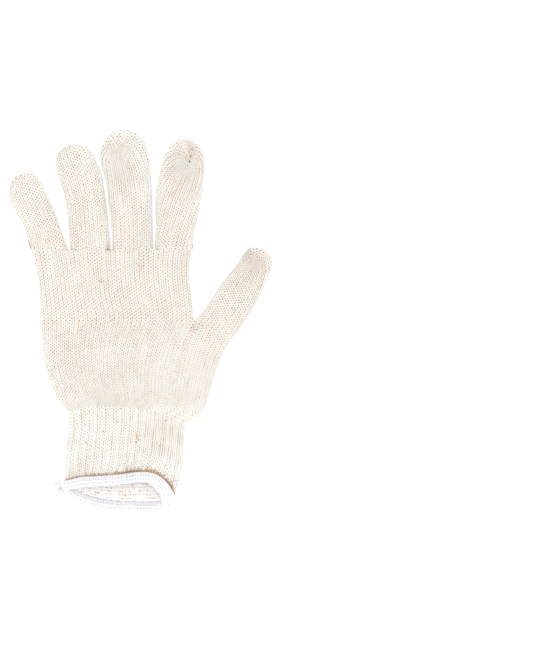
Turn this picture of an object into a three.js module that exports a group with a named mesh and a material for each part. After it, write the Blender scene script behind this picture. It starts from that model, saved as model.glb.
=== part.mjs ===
// A seamless string-knit glove liner, lying palm down on a flat surface, with its cuff mouth gaping.
//
// The glove is one continuous knitted tube that forks. A glove machine knits it in tubes: four fingers,
// a body that joins the four, a thumb, a body that joins all five, and an elastic cuff. White overlock
// thread then binds the cuff's edge and ends in a short tail. Each of those tubes is one mesh here: a
// fabric wall that is hollow from the cuff's mouth to the fingertips. Neighbouring tubes end 0.3 mm
// apart, at the row of stitches that would join them.
//
// Millimetres. +Y runs to the fingertips, +X to the thumb and +Z up from the surface. The origin lies on
// the surface, under the middle of the glove.
import * as THREE from "three";

// Driving sizes
const WALL = 1.6; // thickness of the knitted fabric
const EDGE_RADIUS = 3.9; // radius at which the lower side of a lying tube turns up
const EDGE_SHARE = 0.45; // that radius is never more than this share of the tube's height
const CROWN_SHARPNESS = 3.0; // 2 makes a tube's top an ellipse, more gives it a flatter, wider top
const LAYER_SHARPNESS = 3; // how suddenly the shift of a tube's layers fades out at its two edges
const FOLD_SHARPNESS = 4; // how closely the wrist's folds keep to the upper side
const TIP_FULLNESS = 0.9; // 1 makes a fingertip round in plan, less makes it blunter
const HEM_GAP = 0.45; // from the last knitted row to the overlock band, square to the row
const TAIL_RADIUS = 1.1; // thread tail left by the overlock machine

// The overlock band's section. "along" runs from the last knitted row to the free edge.
const HEM_SECTION = [
  { along: 0, halfThick: 0.84 },
  { along: 1.4, halfThick: 1.4 },
  { along: 4.6, halfThick: 1.4 },
  { along: 6, halfThick: 0.56 },
];
// Near the thumb side the band turns square to the last row and leans inwards. "from" is where that begins,
// as a share of the mouth's width. "lift" raises the band of the upper layer.
const HEM_LEAN = { from: 0.75, inward: 0.45, lift: 0.18 };

// Ribs of the elastic cuff: one rib for every three columns of stitches
const RIBS = 28; // all round the cuff
const RIB_HEIGHT = 0.45; // how far a rib's crest and valley lie from the mean surface
const POINTS_PER_RIB = 4;

// How finely the pieces are faceted
const FINGER_POINTS = 20;
const BODY_POINTS = 36;
const FORK_POINTS = 56;
const FINE = 4; // a fine outline has this many times the points of the one that is read from it
const TIP_RINGS = 4;
const POLE_STEP = 0.6; // from a tip's last ring to its end, as a share of the turn between two rings
const HEM_POINTS_PER_RIB = 2;
const TAIL_SIDES = 8;
const TAIL_STEPS = 9;

const NATURAL = 0xf1ebe1; // unbleached cotton
const WHITE = 0xf8f8fb; // bleached overlock thread
const KNIT_ROUGHNESS = 0.95;
const THREAD_ROUGHNESS = 0.9;

// Each row is a course of stitches: its left and right edge in plan, and the height of the tube there.
const LITTLE_FINGER = {
  tip: 14.7,
  rows: [
    { leftX: -70.7, leftY: 45.0, rightX: -45.7, rightY: 45.0, tall: 9.8 },
    { leftX: -72.7, leftY: 51.0, rightX: -49.4, rightY: 55.5, tall: 9.3 },
    { leftX: -75.3, leftY: 58.7, rightX: -52.6, rightY: 65.4, tall: 9.0 },
    { leftX: -80.1, leftY: 68.3, rightX: -56.5, rightY: 74.6, tall: 9.2 },
    { leftX: -83.9, leftY: 77.2, rightX: -60.3, rightY: 82.9, tall: 9.0 },
  ],
};
const RING_FINGER = {
  tip: 12.8,
  rows: [
    { leftX: -45.1, leftY: 45.0, rightX: -18.7, rightY: 45.0, tall: 10.2 },
    { leftX: -46.6, leftY: 58.7, rightX: -19.8, rightY: 60.6, tall: 9.8 },
    { leftX: -48.2, leftY: 74.6, rightX: -21.9, rightY: 77.8, tall: 9.6 },
    { leftX: -52.0, leftY: 88.7, rightX: -24.5, rightY: 93.8, tall: 9.8 },
    { leftX: -54.9, leftY: 97.6, rightX: -28.2, rightY: 102.9, tall: 9.4 },
  ],
};
const MIDDLE_FINGER = {
  tip: 19.5,
  rows: [
    { leftX: -18.1, leftY: 45.0, rightX: 8.7, rightY: 45.0, tall: 10.4 },
    { leftX: -18.9, leftY: 60.6, rightX: 8.3, rightY: 60.6, tall: 10.0 },
    { leftX: -20.9, leftY: 76.6, rightX: 8.0, rightY: 77.2, tall: 10.0 },
    { leftX: -22.9, leftY: 90.6, rightX: 7.3, rightY: 91.9, tall: 10.2 },
    { leftX: -26.2, leftY: 101.4, rightX: 5.9, rightY: 104.4, tall: 9.8 },
  ],
};
const INDEX_FINGER = {
  tip: 19.1,
  rows: [
    { leftX: 9.3, leftY: 45.0, rightX: 33.7, rightY: 45.0, tall: 10.2 },
    { leftX: 9.5, leftY: 60.6, rightX: 35.9, rightY: 58.1, tall: 9.8 },
    { leftX: 9.2, leftY: 74.6, rightX: 38.9, rightY: 73.4, tall: 9.8 },
    { leftX: 10.6, leftY: 88.7, rightX: 41.1, rightY: 85.5, tall: 10.0 },
    { leftX: 13.2, leftY: 98.3, rightX: 42.1, rightY: 96.0, tall: 9.6 },
  ],
};
const THUMB = {
  tip: 16.0,
  rows: [
    { leftX: 35.2, leftY: 0.5, rightX: 59.0, rightY: -13.9, tall: 10.4 },
    { leftX: 42.3, leftY: 9.7, rightX: 66.1, rightY: -4.0, tall: 9.9 },
    { leftX: 50.8, leftY: 22.7, rightX: 73.9, rightY: 9.0, tall: 9.6 },
    { leftX: 57.5, leftY: 31.8, rightX: 78.6, rightY: 18.2, tall: 9.4 },
    { leftX: 62.5, leftY: 38.0, rightX: 81.7, rightY: 25.8, tall: 9.0 },
  ],
};
const FOUR_FINGER_BODY = [
  { leftX: -64.1, leftY: 0.4, rightX: 34.6, rightY: 0.4, tall: 11.0 },
  { leftX: -64.9, leftY: 12.8, rightX: 33.6, rightY: 12.8, tall: 11.0 },
  { leftX: -66.4, leftY: 25.5, rightX: 32.2, rightY: 25.5, tall: 10.8 },
  { leftX: -68.2, leftY: 35.7, rightX: 32.1, rightY: 35.7, tall: 10.5 },
  { leftX: -70.6, leftY: 44.7, rightX: 33.6, rightY: 44.7, tall: 10.2 },
];
// Below the thumb a course runs across the palm to a bend, then square across the thumb's root. "soft" is
// the length over which it turns there. The top of the tube is pushed up the hand by topShift and the
// underside by underShift.
const FIVE_FINGER_BODY = [
  {
    leftX: -47.2, leftY: -58.4, bendX: -8.0, bendY: -62.5, rightX: 30.0, rightY: -66.4,
    soft: 20, tall: 11.2, topShift: 8.0, underShift: -4.0,
  },
  {
    leftX: -50.4, leftY: -55.2, bendX: 0.0, bendY: -58.6, rightX: 39.6, rightY: -61.6,
    soft: 20, tall: 11.2, topShift: 7.2, underShift: -3.6,
  },
  {
    leftX: -53.4, leftY: -51.0, bendX: 6.4, bendY: -54.2, rightX: 42.4, rightY: -55.5,
    soft: 18, tall: 11.4, topShift: 6.2, underShift: -3.2,
  },
  {
    leftX: -58.7, leftY: -38.9, bendX: 20.4, bendY: -41.5, rightX: 45.6, rightY: -44.7,
    soft: 14, tall: 11.6, topShift: 4.0, underShift: -2.0,
  },
  {
    leftX: -62.3, leftY: -25.5, bendX: 27.4, bendY: -27.4, rightX: 48.8, rightY: -34.5,
    soft: 9, tall: 11.6, topShift: 2.0, underShift: -1.0,
  },
  {
    leftX: -63.3, leftY: -11.5, bendX: 31.9, bendY: -12.8, rightX: 52.6, rightY: -24.2,
    soft: 5, tall: 11.3, topShift: 0.6, underShift: -0.3,
  },
  {
    leftX: -64.1, leftY: 0.0, bendX: 34.8, bendY: 0.0, rightX: 58.7, rightY: -14.3,
    soft: 1, tall: 11.0, topShift: 0.0, underShift: 0.0,
  },
];
const CUFF = [
  { leftX: -47.2, leftY: -58.7, rightX: 29.8, rightY: -66.7, tall: 11.2 },
  { leftX: -46.6, leftY: -70.2, rightX: 28.7, rightY: -76.6, tall: 10.6 },
  { leftX: -48.2, leftY: -82.9, rightX: 28.1, rightY: -86.1, tall: 10.8 },
  { leftX: -49.1, leftY: -95.7, rightX: 26.9, rightY: -96.7, tall: 11.4 },
  { leftX: -49.1, leftY: -102.7, rightX: 22.6, rightY: -110.4, tall: 12.0 },
];
// The last knitted row at the mouth, where the upper layer is pulled back and the under layer shows.
// "across" runs from 0 at the left edge to 1 at the right edge.
const MOUTH = [
  { across: 0.0, topY: -102.4, underY: -102.4, tall: 7.5 },
  { across: 0.11, topY: -98.4, underY: -109.6, tall: 8.8 },
  { across: 0.28, topY: -98.3, underY: -114.0, tall: 10.6 },
  { across: 0.49, topY: -97.4, underY: -116.3, tall: 12.2 },
  { across: 0.69, topY: -95.1, underY: -116.6, tall: 13.4 },
  { across: 0.82, topY: -94.7, underY: -116.6, tall: 13.0 },
  { across: 0.91, topY: -97.6, underY: -116.2, tall: 11.8 },
  { across: 0.97, topY: -103.6, underY: -115.2, tall: 10.0 },
  { across: 1.0, topY: -112.5, underY: -112.5, tall: 8.5 },
];
// Soft folds that run up from the gathered wrist over the palm's upper side
const WRIST_FOLDS = [
  { across: 0.24, rise: 0.7, halfWidth: 0.05, reach: 26 },
  { across: 0.43, rise: 0.8, halfWidth: 0.05, reach: 20 },
  { across: 0.6, rise: 0.7, halfWidth: 0.05, reach: 24 },
  { across: 0.78, rise: 0.9, halfWidth: 0.06, reach: 22 },
];
const THREAD_TAIL = [
  { x: -47.5, y: -112.0 },
  { x: -50.4, y: -110.0 },
  { x: -52.7, y: -106.4 },
  { x: -53.4, y: -101.8 },
];

const mix = (a, b, share) => a + (b - a) * share;
const smooth = (share) => share * share * (3 - 2 * share);

// A table's column read at a place between its rows, on a curve that passes smoothly through them.
function readColumn(table, place, at, column) {
  const next = table.findIndex((row) => row[place] > at);
  const low = Math.max(0, next < 0 ? table.length - 2 : next - 1);
  const slope = (i) => {
    const [before, after] = [table[Math.max(0, i - 1)], table[Math.min(table.length - 1, i + 1)]];
    return (after[column] - before[column]) / (after[place] - before[place]);
  };
  const length = table[low + 1][place] - table[low][place];
  const share = Math.min(1, Math.max(0, (at - table[low][place]) / length));
  const rest = 1 - share;
  return mix(table[low][column], table[low + 1][column], smooth(share)) +
    length * share * rest * (rest * slope(low) - share * slope(low + 1));
}

// A row between the rows of a table: share runs from 0 at the first row to 1 at the last.
function rowAt(rows, share) {
  const made = {};
  for (const column of Object.keys(rows[0])) {
    const curve = new THREE.CatmullRomCurve3(
      rows.map((row, i) => new THREE.Vector3(i, row[column], 0)), false, "catmullrom", 0.5,
    );
    made[column] = curve.getPoint(share).y;
  }
  return made;
}

// The outline of a lying tube: flat below, round at its sides and crowned on top. It starts at the left
// side and runs over the top to the right side and back underneath. x is measured from the middle, z from
// the surface.
function outline(halfWidth, tall, points) {
  const half = points / 2;
  const radius = Math.min(EDGE_RADIUS, tall * EDGE_SHARE);
  const flatHalf = halfWidth - radius;
  const topZ = (x) => {
    const fallen = Math.pow(Math.abs(x) / halfWidth, CROWN_SHARPNESS);
    return radius + (tall - radius) * Math.sqrt(Math.max(0, 1 - fallen));
  };
  const underZ = (x) => {
    const past = Math.max(0, Math.abs(x) - flatHalf);
    return radius - Math.sqrt(Math.max(0, radius * radius - past * past));
  };
  return Array.from({ length: points }, (_, i) => {
    const x = -halfWidth * Math.cos((Math.PI * i) / half);
    return new THREE.Vector2(x, i <= half ? topZ(x) : underZ(x));
  });
}

// The same outline with its points moved to equal distances round it.
function evenOutline(halfWidth, tall, points) {
  const fine = outline(halfWidth, tall, FINE * points);
  const loop = [...fine, fine[0]];
  const reached = [0];
  for (let i = 1; i < loop.length; i++) {
    reached.push(reached[i - 1] + loop[i].distanceTo(loop[i - 1]));
  }
  const round = reached[reached.length - 1];
  return Array.from({ length: points }, (_, i) => {
    const wanted = (round * i) / points;
    const next = Math.max(1, reached.findIndex((length) => length > wanted));
    const share = (wanted - reached[next - 1]) / (reached[next] - reached[next - 1]);
    return loop[next - 1].clone().lerp(loop[next], share);
  });
}

// A closed outline moved along its own normals, outwards by distance.
function offset(points, distance) {
  return points.map((point, i) => {
    const before = points[(i - 1 + points.length) % points.length];
    const along = points[(i + 1) % points.length].clone().sub(before).normalize();
    const moved = typeof distance === "function" ? distance(i) : distance;
    return new THREE.Vector2(point.x - along.y * moved, point.y + along.x * moved);
  });
}

// Stands an outline on a straight course from its left to its right edge. Both faces of the wall use it.
function onCourse(row, points) {
  const left = new THREE.Vector3(row.leftX, row.leftY, 0);
  const right = new THREE.Vector3(row.rightX, row.rightY, 0);
  const across = right.clone().sub(left).normalize();
  const middle = left.add(right).multiplyScalar(0.5);
  return points.map((p) => middle.clone().addScaledVector(across, p.x).setZ(p.y));
}

// The point of a bent course at a share of its length.
function bentPoint(row, share) {
  const left = new THREE.Vector2(row.leftX, row.leftY);
  const bend = new THREE.Vector2(row.bendX, row.bendY);
  const right = new THREE.Vector2(row.rightX, row.rightY);
  const first = bend.distanceTo(left);
  const second = right.distanceTo(bend);
  const reached = share * (first + second);
  const towardsBend = bend.clone().sub(left).normalize();
  const afterBend = right.clone().sub(bend).normalize();
  const into = (reached - first + row.soft) / (2 * row.soft);
  if (into <= 0) return left.addScaledVector(towardsBend, reached);
  if (into >= 1) return bend.addScaledVector(afterBend, reached - first);
  const enter = bend.clone().addScaledVector(towardsBend, -row.soft);
  const leave = bend.clone().addScaledVector(afterBend, row.soft);
  return new THREE.QuadraticBezierCurve(enter, bend, leave).getPoint(into);
}

function bentHalfWidth(row) {
  const first = Math.hypot(row.bendX - row.leftX, row.bendY - row.leftY);
  const second = Math.hypot(row.rightX - row.bendX, row.rightY - row.bendY);
  return (first + second) / 2;
}

// How strongly a layer's shift acts: none at the tube's two edges, full over the middle.
const shiftWeight = (share) => 1 - Math.pow(Math.abs(2 * share - 1), LAYER_SHARPNESS);

// Rings from the wrist to the fork between palm and thumb. "skin" says how far along its course and how
// high in the tube each point is. "moved" is the face that is made, at the skin or inside of it.
function forkRing(row, skin, moved, fromWrist) {
  const half = bentHalfWidth(row);
  return moved.map((p, i) => {
    const share = (skin[i].x + half) / (2 * half);
    const plan = bentPoint(row, (p.x + half) / (2 * half));
    const high = skin[i].y / row.tall;
    const shift = mix(row.underShift, row.topShift, high) * shiftWeight(share);
    let rise = 0;
    for (const fold of WRIST_FOLDS) {
      const aside = (share - fold.across) / fold.halfWidth;
      const fading = Math.max(0, 1 - fromWrist / fold.reach) * Math.pow(high, FOLD_SHARPNESS);
      rise += fold.rise * Math.exp(-aside * aside) * fading;
    }
    return new THREE.Vector3(plan.x, plan.y + shift, p.y + rise);
  });
}

// Rings from the wrist to the mouth. towardsMouth runs from 0 to 1.
function cuffRing(row, skin, moved, towardsMouth) {
  const half = Math.hypot(row.rightX - row.leftX, row.rightY - row.leftY) / 2;
  const wrist = FIVE_FINGER_BODY[0];
  const mouth = CUFF[CUFF.length - 1];
  return onCourse(row, moved).map((place, i) => {
    const share = (skin[i].x + half) / (2 * half);
    const high = skin[i].y / row.tall;
    const mouthLine = mix(mouth.leftY, mouth.rightY, share);
    const topAtMouth = readColumn(MOUTH, "across", share, "topY") - mouthLine;
    const underAtMouth = readColumn(MOUTH, "across", share, "underY") - mouthLine;
    const top = mix(wrist.topShift * shiftWeight(share), topAtMouth, towardsMouth);
    const under = mix(wrist.underShift * shiftWeight(share), underAtMouth, towardsMouth);
    const mouthTall = readColumn(MOUTH, "across", share, "tall") / mouth.tall;
    const stretch = mix(1, mouthTall, smooth(towardsMouth));
    return new THREE.Vector3(place.x, place.y + mix(under, top, high), place.z * stretch);
  });
}

// The rings that close a fingertip: each shrinks towards the tip's middle. reach is the tip's length.
function tipRings(row, ring, reach) {
  const across = new THREE.Vector3(row.rightX - row.leftX, row.rightY - row.leftY, 0).normalize();
  const forward = new THREE.Vector3(-across.y, across.x, 0);
  const middleX = (row.leftX + row.rightX) / 2;
  const middle = new THREE.Vector3(middleX, (row.leftY + row.rightY) / 2, EDGE_RADIUS);
  const made = [];
  for (let i = 1; i <= TIP_RINGS; i++) {
    const turn = (Math.PI / 2) * (i / (TIP_RINGS + POLE_STEP));
    const shrink = Math.pow(Math.cos(turn), TIP_FULLNESS);
    made.push(
      ring.map((p) => {
        const aside = p.clone().sub(middle).multiplyScalar(shrink);
        return middle.clone().add(aside).addScaledVector(forward, reach * Math.sin(turn));
      }),
    );
  }
  return { rings: made, pole: middle.clone().addScaledVector(forward, reach) };
}

// A closed mesh from the rings of a wall's outer and inner face. Poles close the tube at its far end.
function wallGeometry(outer, inner, poles) {
  const points = outer[0].length;
  const positions = [...outer.flat(), ...inner.flat()];
  const innerStart = outer.length * points;
  const faces = [];
  const strip = (a, b, turned) => {
    for (let i = 0; i < points; i++) {
      const j = (i + 1) % points;
      const corners = turned ? [a + i, b + i, b + j, a + j] : [a + i, a + j, b + j, b + i];
      faces.push(corners[0], corners[1], corners[2], corners[0], corners[2], corners[3]);
    }
  };
  for (let k = 0; k + 1 < outer.length; k++) {
    strip(k * points, (k + 1) * points, false);
    strip(innerStart + k * points, innerStart + (k + 1) * points, true);
  }
  strip(0, innerStart, true);
  const outerLast = (outer.length - 1) * points;
  const innerLast = innerStart + (inner.length - 1) * points;
  if (!poles) {
    strip(outerLast, innerLast, false);
  } else {
    positions.push(poles.outer, poles.inner);
    const pole = positions.length - 2;
    for (let i = 0; i < points; i++) {
      const j = (i + 1) % points;
      faces.push(outerLast + i, outerLast + j, pole, innerLast + j, innerLast + i, pole + 1);
    }
  }
  return new THREE.BufferGeometry().setFromPoints(positions).setIndex(faces);
}

function fingerGeometry({ rows, tip }) {
  const steps = 2 * (rows.length - 1);
  const outer = [];
  const inner = [];
  for (let k = 0; k <= steps; k++) {
    const row = rowAt(rows, k / steps);
    const half = Math.hypot(row.rightX - row.leftX, row.rightY - row.leftY) / 2;
    const skin = outline(half, row.tall, FINGER_POINTS);
    outer.push(onCourse(row, skin));
    inner.push(onCourse(row, offset(skin, -WALL)));
  }
  const end = rows[rows.length - 1];
  const outerTip = tipRings(end, outer[steps], tip);
  const innerTip = tipRings(end, inner[steps], tip - WALL);
  outer.push(...outerTip.rings);
  inner.push(...innerTip.rings);
  return wallGeometry(outer, inner, { outer: outerTip.pole, inner: innerTip.pole });
}

function fourFingerBodyGeometry() {
  const steps = FOUR_FINGER_BODY.length - 1;
  const outer = [];
  const inner = [];
  for (let k = 0; k <= steps; k++) {
    const row = FOUR_FINGER_BODY[k];
    const skin = outline((row.rightX - row.leftX) / 2, row.tall, BODY_POINTS);
    outer.push(onCourse(row, skin));
    inner.push(onCourse(row, offset(skin, -WALL)));
  }
  return wallGeometry(outer, inner);
}

function fiveFingerBodyGeometry() {
  const outer = [];
  const inner = [];
  const wristY = FIVE_FINGER_BODY[0].leftY;
  for (const row of FIVE_FINGER_BODY) {
    const skin = outline(bentHalfWidth(row), row.tall, FORK_POINTS);
    const fromWrist = row.leftY - wristY;
    outer.push(forkRing(row, skin, skin, fromWrist));
    inner.push(forkRing(row, skin, offset(skin, -WALL), fromWrist));
  }
  return wallGeometry(outer, inner);
}

// The cuff's outer, mean and inner rings, from the wrist to the mouth. The wrist's own ring has no ribs.
function cuffRings() {
  const points = RIBS * POINTS_PER_RIB;
  const steps = CUFF.length - 1;
  const rings = { outer: [], mean: [], inner: [] };
  for (let k = 0; k <= steps; k++) {
    const row = CUFF[k];
    const half = Math.hypot(row.rightX - row.leftX, row.rightY - row.leftY) / 2;
    const skin = evenOutline(half, row.tall, points);
    const ribHeight = RIB_HEIGHT * Math.min(1, k);
    const rib = (i) => ribHeight * Math.cos((2 * Math.PI * i) / POINTS_PER_RIB);
    const ribbed = offset(skin, rib).map((p) => new THREE.Vector2(p.x, Math.max(0, p.y)));
    rings.outer.push(cuffRing(row, skin, ribbed, k / steps));
    rings.mean.push(cuffRing(row, skin, skin, k / steps));
    rings.inner.push(cuffRing(row, skin, offset(skin, -WALL), k / steps));
  }
  return rings;
}

// The overlock band: a flat ring with rounded edges that carries on from the cuff's last course. Near the
// thumb side it leans inwards, because the mouth gapes and its layers run together there.
function hemGeometry() {
  const { mean, inner } = cuffRings();
  const step = POINTS_PER_RIB / HEM_POINTS_PER_RIB;
  const face = mean[mean.length - 1].filter((_, i) => i % step === 0);
  const back = inner[inner.length - 1].filter((_, i) => i % step === 0);
  const count = face.length;
  const section = [
    ...HEM_SECTION.map((s) => ({ along: s.along, out: -s.halfThick })),
    ...HEM_SECTION.toReversed().map((s) => ({ along: s.along, out: s.halfThick })),
  ];
  const leftX = Math.min(...face.map((p) => p.x));
  const width = Math.max(...face.map((p) => p.x)) - leftX;
  const positions = face.flatMap((p, i) => {
    const out = p.clone().sub(back[i]).normalize();
    const centre = p.clone().add(back[i]).multiplyScalar(0.5);
    const round = face[(i + 1) % count].clone().sub(face[(i - 1 + count) % count]).normalize();
    const pastLean = ((p.x - leftX) / width - HEM_LEAN.from) / (1 - HEM_LEAN.from);
    const nearRight = smooth(Math.min(1, Math.max(0, pastLean)));
    const square = round.clone().cross(out).normalize();
    const along = new THREE.Vector3(0, -1, 0).lerp(square, nearRight);
    along.x -= HEM_LEAN.inward * Math.pow(nearRight, 3);
    along.z += HEM_LEAN.lift * Math.max(0, out.z);
    along.normalize();
    const facing = Math.abs(round.cross(out).dot(along)); // 1 where the band leaves the course squarely
    return section.map((s) => {
      const reach = Math.max(s.along, HEM_GAP / facing);
      const at = centre.clone().addScaledVector(along, reach).addScaledVector(out, s.out);
      return at.setZ(Math.max(0, at.z));
    });
  });
  const sides = section.length;
  const faces = [];
  for (let i = 0; i < count; i++) {
    for (let j = 0; j < sides; j++) {
      const a = i * sides + j;
      const b = i * sides + ((j + 1) % sides);
      const c = ((i + 1) % count) * sides + ((j + 1) % sides);
      const d = ((i + 1) % count) * sides + j;
      faces.push(a, c, b, a, d, c);
    }
  }
  return new THREE.BufferGeometry().setFromPoints(positions).setIndex(faces);
}

// A short chain of thread that lies on the surface beside the hem.
function tailGeometry() {
  const section = new THREE.Shape(
    Array.from({ length: TAIL_SIDES }, (_, i) => {
      const turn = (2 * Math.PI * (i + 0.5)) / TAIL_SIDES;
      return new THREE.Vector2(TAIL_RADIUS * Math.cos(turn), TAIL_RADIUS * Math.sin(turn));
    }),
  );
  const points = THREAD_TAIL.map((p) => new THREE.Vector3(p.x, p.y, TAIL_RADIUS));
  const extrudePath = new THREE.CatmullRomCurve3(points);
  return new THREE.ExtrudeGeometry(section, { extrudePath, steps: TAIL_STEPS, bevelEnabled: false });
}

const glove = new THREE.Group();
function addPiece(name, geometry, color, roughness) {
  geometry.computeVertexNormals();
  const material = new THREE.MeshStandardMaterial({ color, roughness, metalness: 0 });
  const piece = new THREE.Mesh(geometry, material);
  piece.name = name;
  glove.add(piece);
}

addPiece("little_finger", fingerGeometry(LITTLE_FINGER), NATURAL, KNIT_ROUGHNESS);
addPiece("ring_finger", fingerGeometry(RING_FINGER), NATURAL, KNIT_ROUGHNESS);
addPiece("middle_finger", fingerGeometry(MIDDLE_FINGER), NATURAL, KNIT_ROUGHNESS);
addPiece("index_finger", fingerGeometry(INDEX_FINGER), NATURAL, KNIT_ROUGHNESS);
addPiece("thumb", fingerGeometry(THUMB), NATURAL, KNIT_ROUGHNESS);
addPiece("four_finger_body", fourFingerBodyGeometry(), NATURAL, KNIT_ROUGHNESS);
addPiece("five_finger_body", fiveFingerBodyGeometry(), NATURAL, KNIT_ROUGHNESS);
const cuff = cuffRings();
const cuffWall = wallGeometry(cuff.outer.toReversed(), cuff.inner.toReversed());
addPiece("cuff", cuffWall, NATURAL, KNIT_ROUGHNESS);
addPiece("overlock_hem", hemGeometry(), WHITE, THREAD_ROUGHNESS);
addPiece("thread_tail", tailGeometry(), WHITE, THREAD_ROUGHNESS);

// The tables are drawn from the middle of the palm. Here the origin goes under the middle of the glove.
const middle = new THREE.Box3().setFromObject(glove).getCenter(new THREE.Vector3());
for (const piece of glove.children) piece.geometry.translate(-middle.x, -middle.y, 0);

export default glove;
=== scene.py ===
# %% [markdown]
# # A string-knit glove liner
# One glove of natural cotton, knitted without a seam and laid flat. Its fingers, palm and cuff are tubes of
# plain knitting that run into each other, and a white overlock binds the mouth of the cuff. The lesson
# builds the real yarn: every stitch is a loop of string that hooks through its neighbours.
#
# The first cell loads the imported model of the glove. It gives the size and place that every piece keeps to.

# %% Load the frame
import math
import bpy
import numpy as np
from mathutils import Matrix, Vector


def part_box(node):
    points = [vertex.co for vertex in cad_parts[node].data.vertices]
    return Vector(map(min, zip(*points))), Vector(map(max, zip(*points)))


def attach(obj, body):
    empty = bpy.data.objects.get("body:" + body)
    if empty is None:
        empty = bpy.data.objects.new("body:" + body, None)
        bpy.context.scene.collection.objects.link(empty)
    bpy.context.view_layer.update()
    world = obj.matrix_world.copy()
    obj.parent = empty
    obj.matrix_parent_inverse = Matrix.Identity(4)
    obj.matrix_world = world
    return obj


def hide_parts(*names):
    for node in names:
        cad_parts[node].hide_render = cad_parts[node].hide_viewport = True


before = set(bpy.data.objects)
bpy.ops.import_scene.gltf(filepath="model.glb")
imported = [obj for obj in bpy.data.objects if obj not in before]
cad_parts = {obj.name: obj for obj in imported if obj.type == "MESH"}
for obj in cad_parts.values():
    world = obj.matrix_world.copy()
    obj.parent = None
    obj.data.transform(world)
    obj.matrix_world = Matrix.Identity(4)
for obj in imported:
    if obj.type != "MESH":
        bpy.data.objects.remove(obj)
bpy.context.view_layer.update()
print("nodes:", sorted(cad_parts))

# %% [markdown]
# ## Camera and light
# The glove is seen from straight above. A long lens nearly two metres up keeps the cuff and the fingertips
# at one scale. The sizes below are in millimetres, because a maker thinks in them, and MM turns them into
# metres.

# %% Camera
MM = 0.001
PIXEL = 245 / 384  # millimetres on the table for one pixel of the picture
PICTURE = (533, 666)
TABLE_ZERO = (140, 320)  # the pixel where the tables below have x = 0, y = 0
table_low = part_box("four_finger_body")[0]
PALM_LEFT, PALM_FRONT = -70.6, 0.4  # mm, where the palm's box begins in the tables
# the tables' zero in the frame
SHIFT = np.array([table_low.x / MM - PALM_LEFT, table_low.y / MM - PALM_FRONT, 0.0])


def from_pixel(px, py, z=0.0):
    return np.array([(px - TABLE_ZERO[0]) * PIXEL, (TABLE_ZERO[1] - py) * PIXEL, z]) + SHIFT


scene = bpy.context.scene
camera = bpy.data.objects.new("camera", bpy.data.cameras.new("camera"))
scene.collection.objects.link(camera)
scene.camera = camera
CAMERA_HEIGHT = 1900
SENSOR_HEIGHT = 24
middle = from_pixel(PICTURE[0] / 2, PICTURE[1] / 2, CAMERA_HEIGHT)
camera.location = middle * MM
camera.data.sensor_fit = "VERTICAL"
camera.data.sensor_height = SENSOR_HEIGHT
GLOVE_TOP = 8  # mm, the height that is drawn at exactly one scale
camera.data.lens = SENSOR_HEIGHT * (CAMERA_HEIGHT - GLOVE_TOP) / (PICTURE[1] * PIXEL)
camera.data.clip_end = 10
print("camera", [round(c, 4) for c in camera.location], "lens", round(camera.data.lens, 1))

# %% [markdown]
# The light is that of a product table: a white room all round, a broad lamp overhead, one in front that
# reaches into the cuff, and a weak one from the upper left, so that the loops throw small soft shadows.
# Colours are shown as they are, with no film curve, because white cotton on white needs its whole range.

# %% Light and floor
scene.view_settings.view_transform = "Standard"
scene.view_settings.look = "None"
world = bpy.data.worlds.new("room")
scene.world = world
world.use_nodes = True
world.node_tree.nodes["Background"].inputs["Color"].default_value = (1.0, 1.0, 1.0, 1)
world.node_tree.nodes["Background"].inputs["Strength"].default_value = 0.99


def lamp(name, place, aim, size, power):
    data = bpy.data.lights.new(name, "AREA")
    data.shape = "DISK"
    data.size = size
    data.energy = power
    made = bpy.data.objects.new(name, data)
    scene.collection.objects.link(made)
    made.location = place
    towards = np.array(aim) - np.array(place)
    pitch = math.atan2(math.hypot(towards[0], towards[1]), -towards[2])
    made.rotation_euler = (pitch, 0, math.atan2(-towards[0], towards[1]))
    print("lamp", name, power, "watts")


lamp("overhead", (0.05, 0.0, 1.4), (0.05, 0, 0), 1.0, 4.8)
lamp("front_fill", (0.0, -0.9, 0.8), (0, -0.1, 0), 0.6, 2.1)
lamp("upper_left", (-0.9, 0.8, 0.9), (0, 0, 0), 0.5, 0.8)

# %% [markdown]
# ## Shader maths as Python
# A finish is easier to read as a formula. This small class wraps one socket of a node. Adding or
# multiplying two of them adds the Math node that does it, and node() makes any other node: settings first,
# then sockets.

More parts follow.
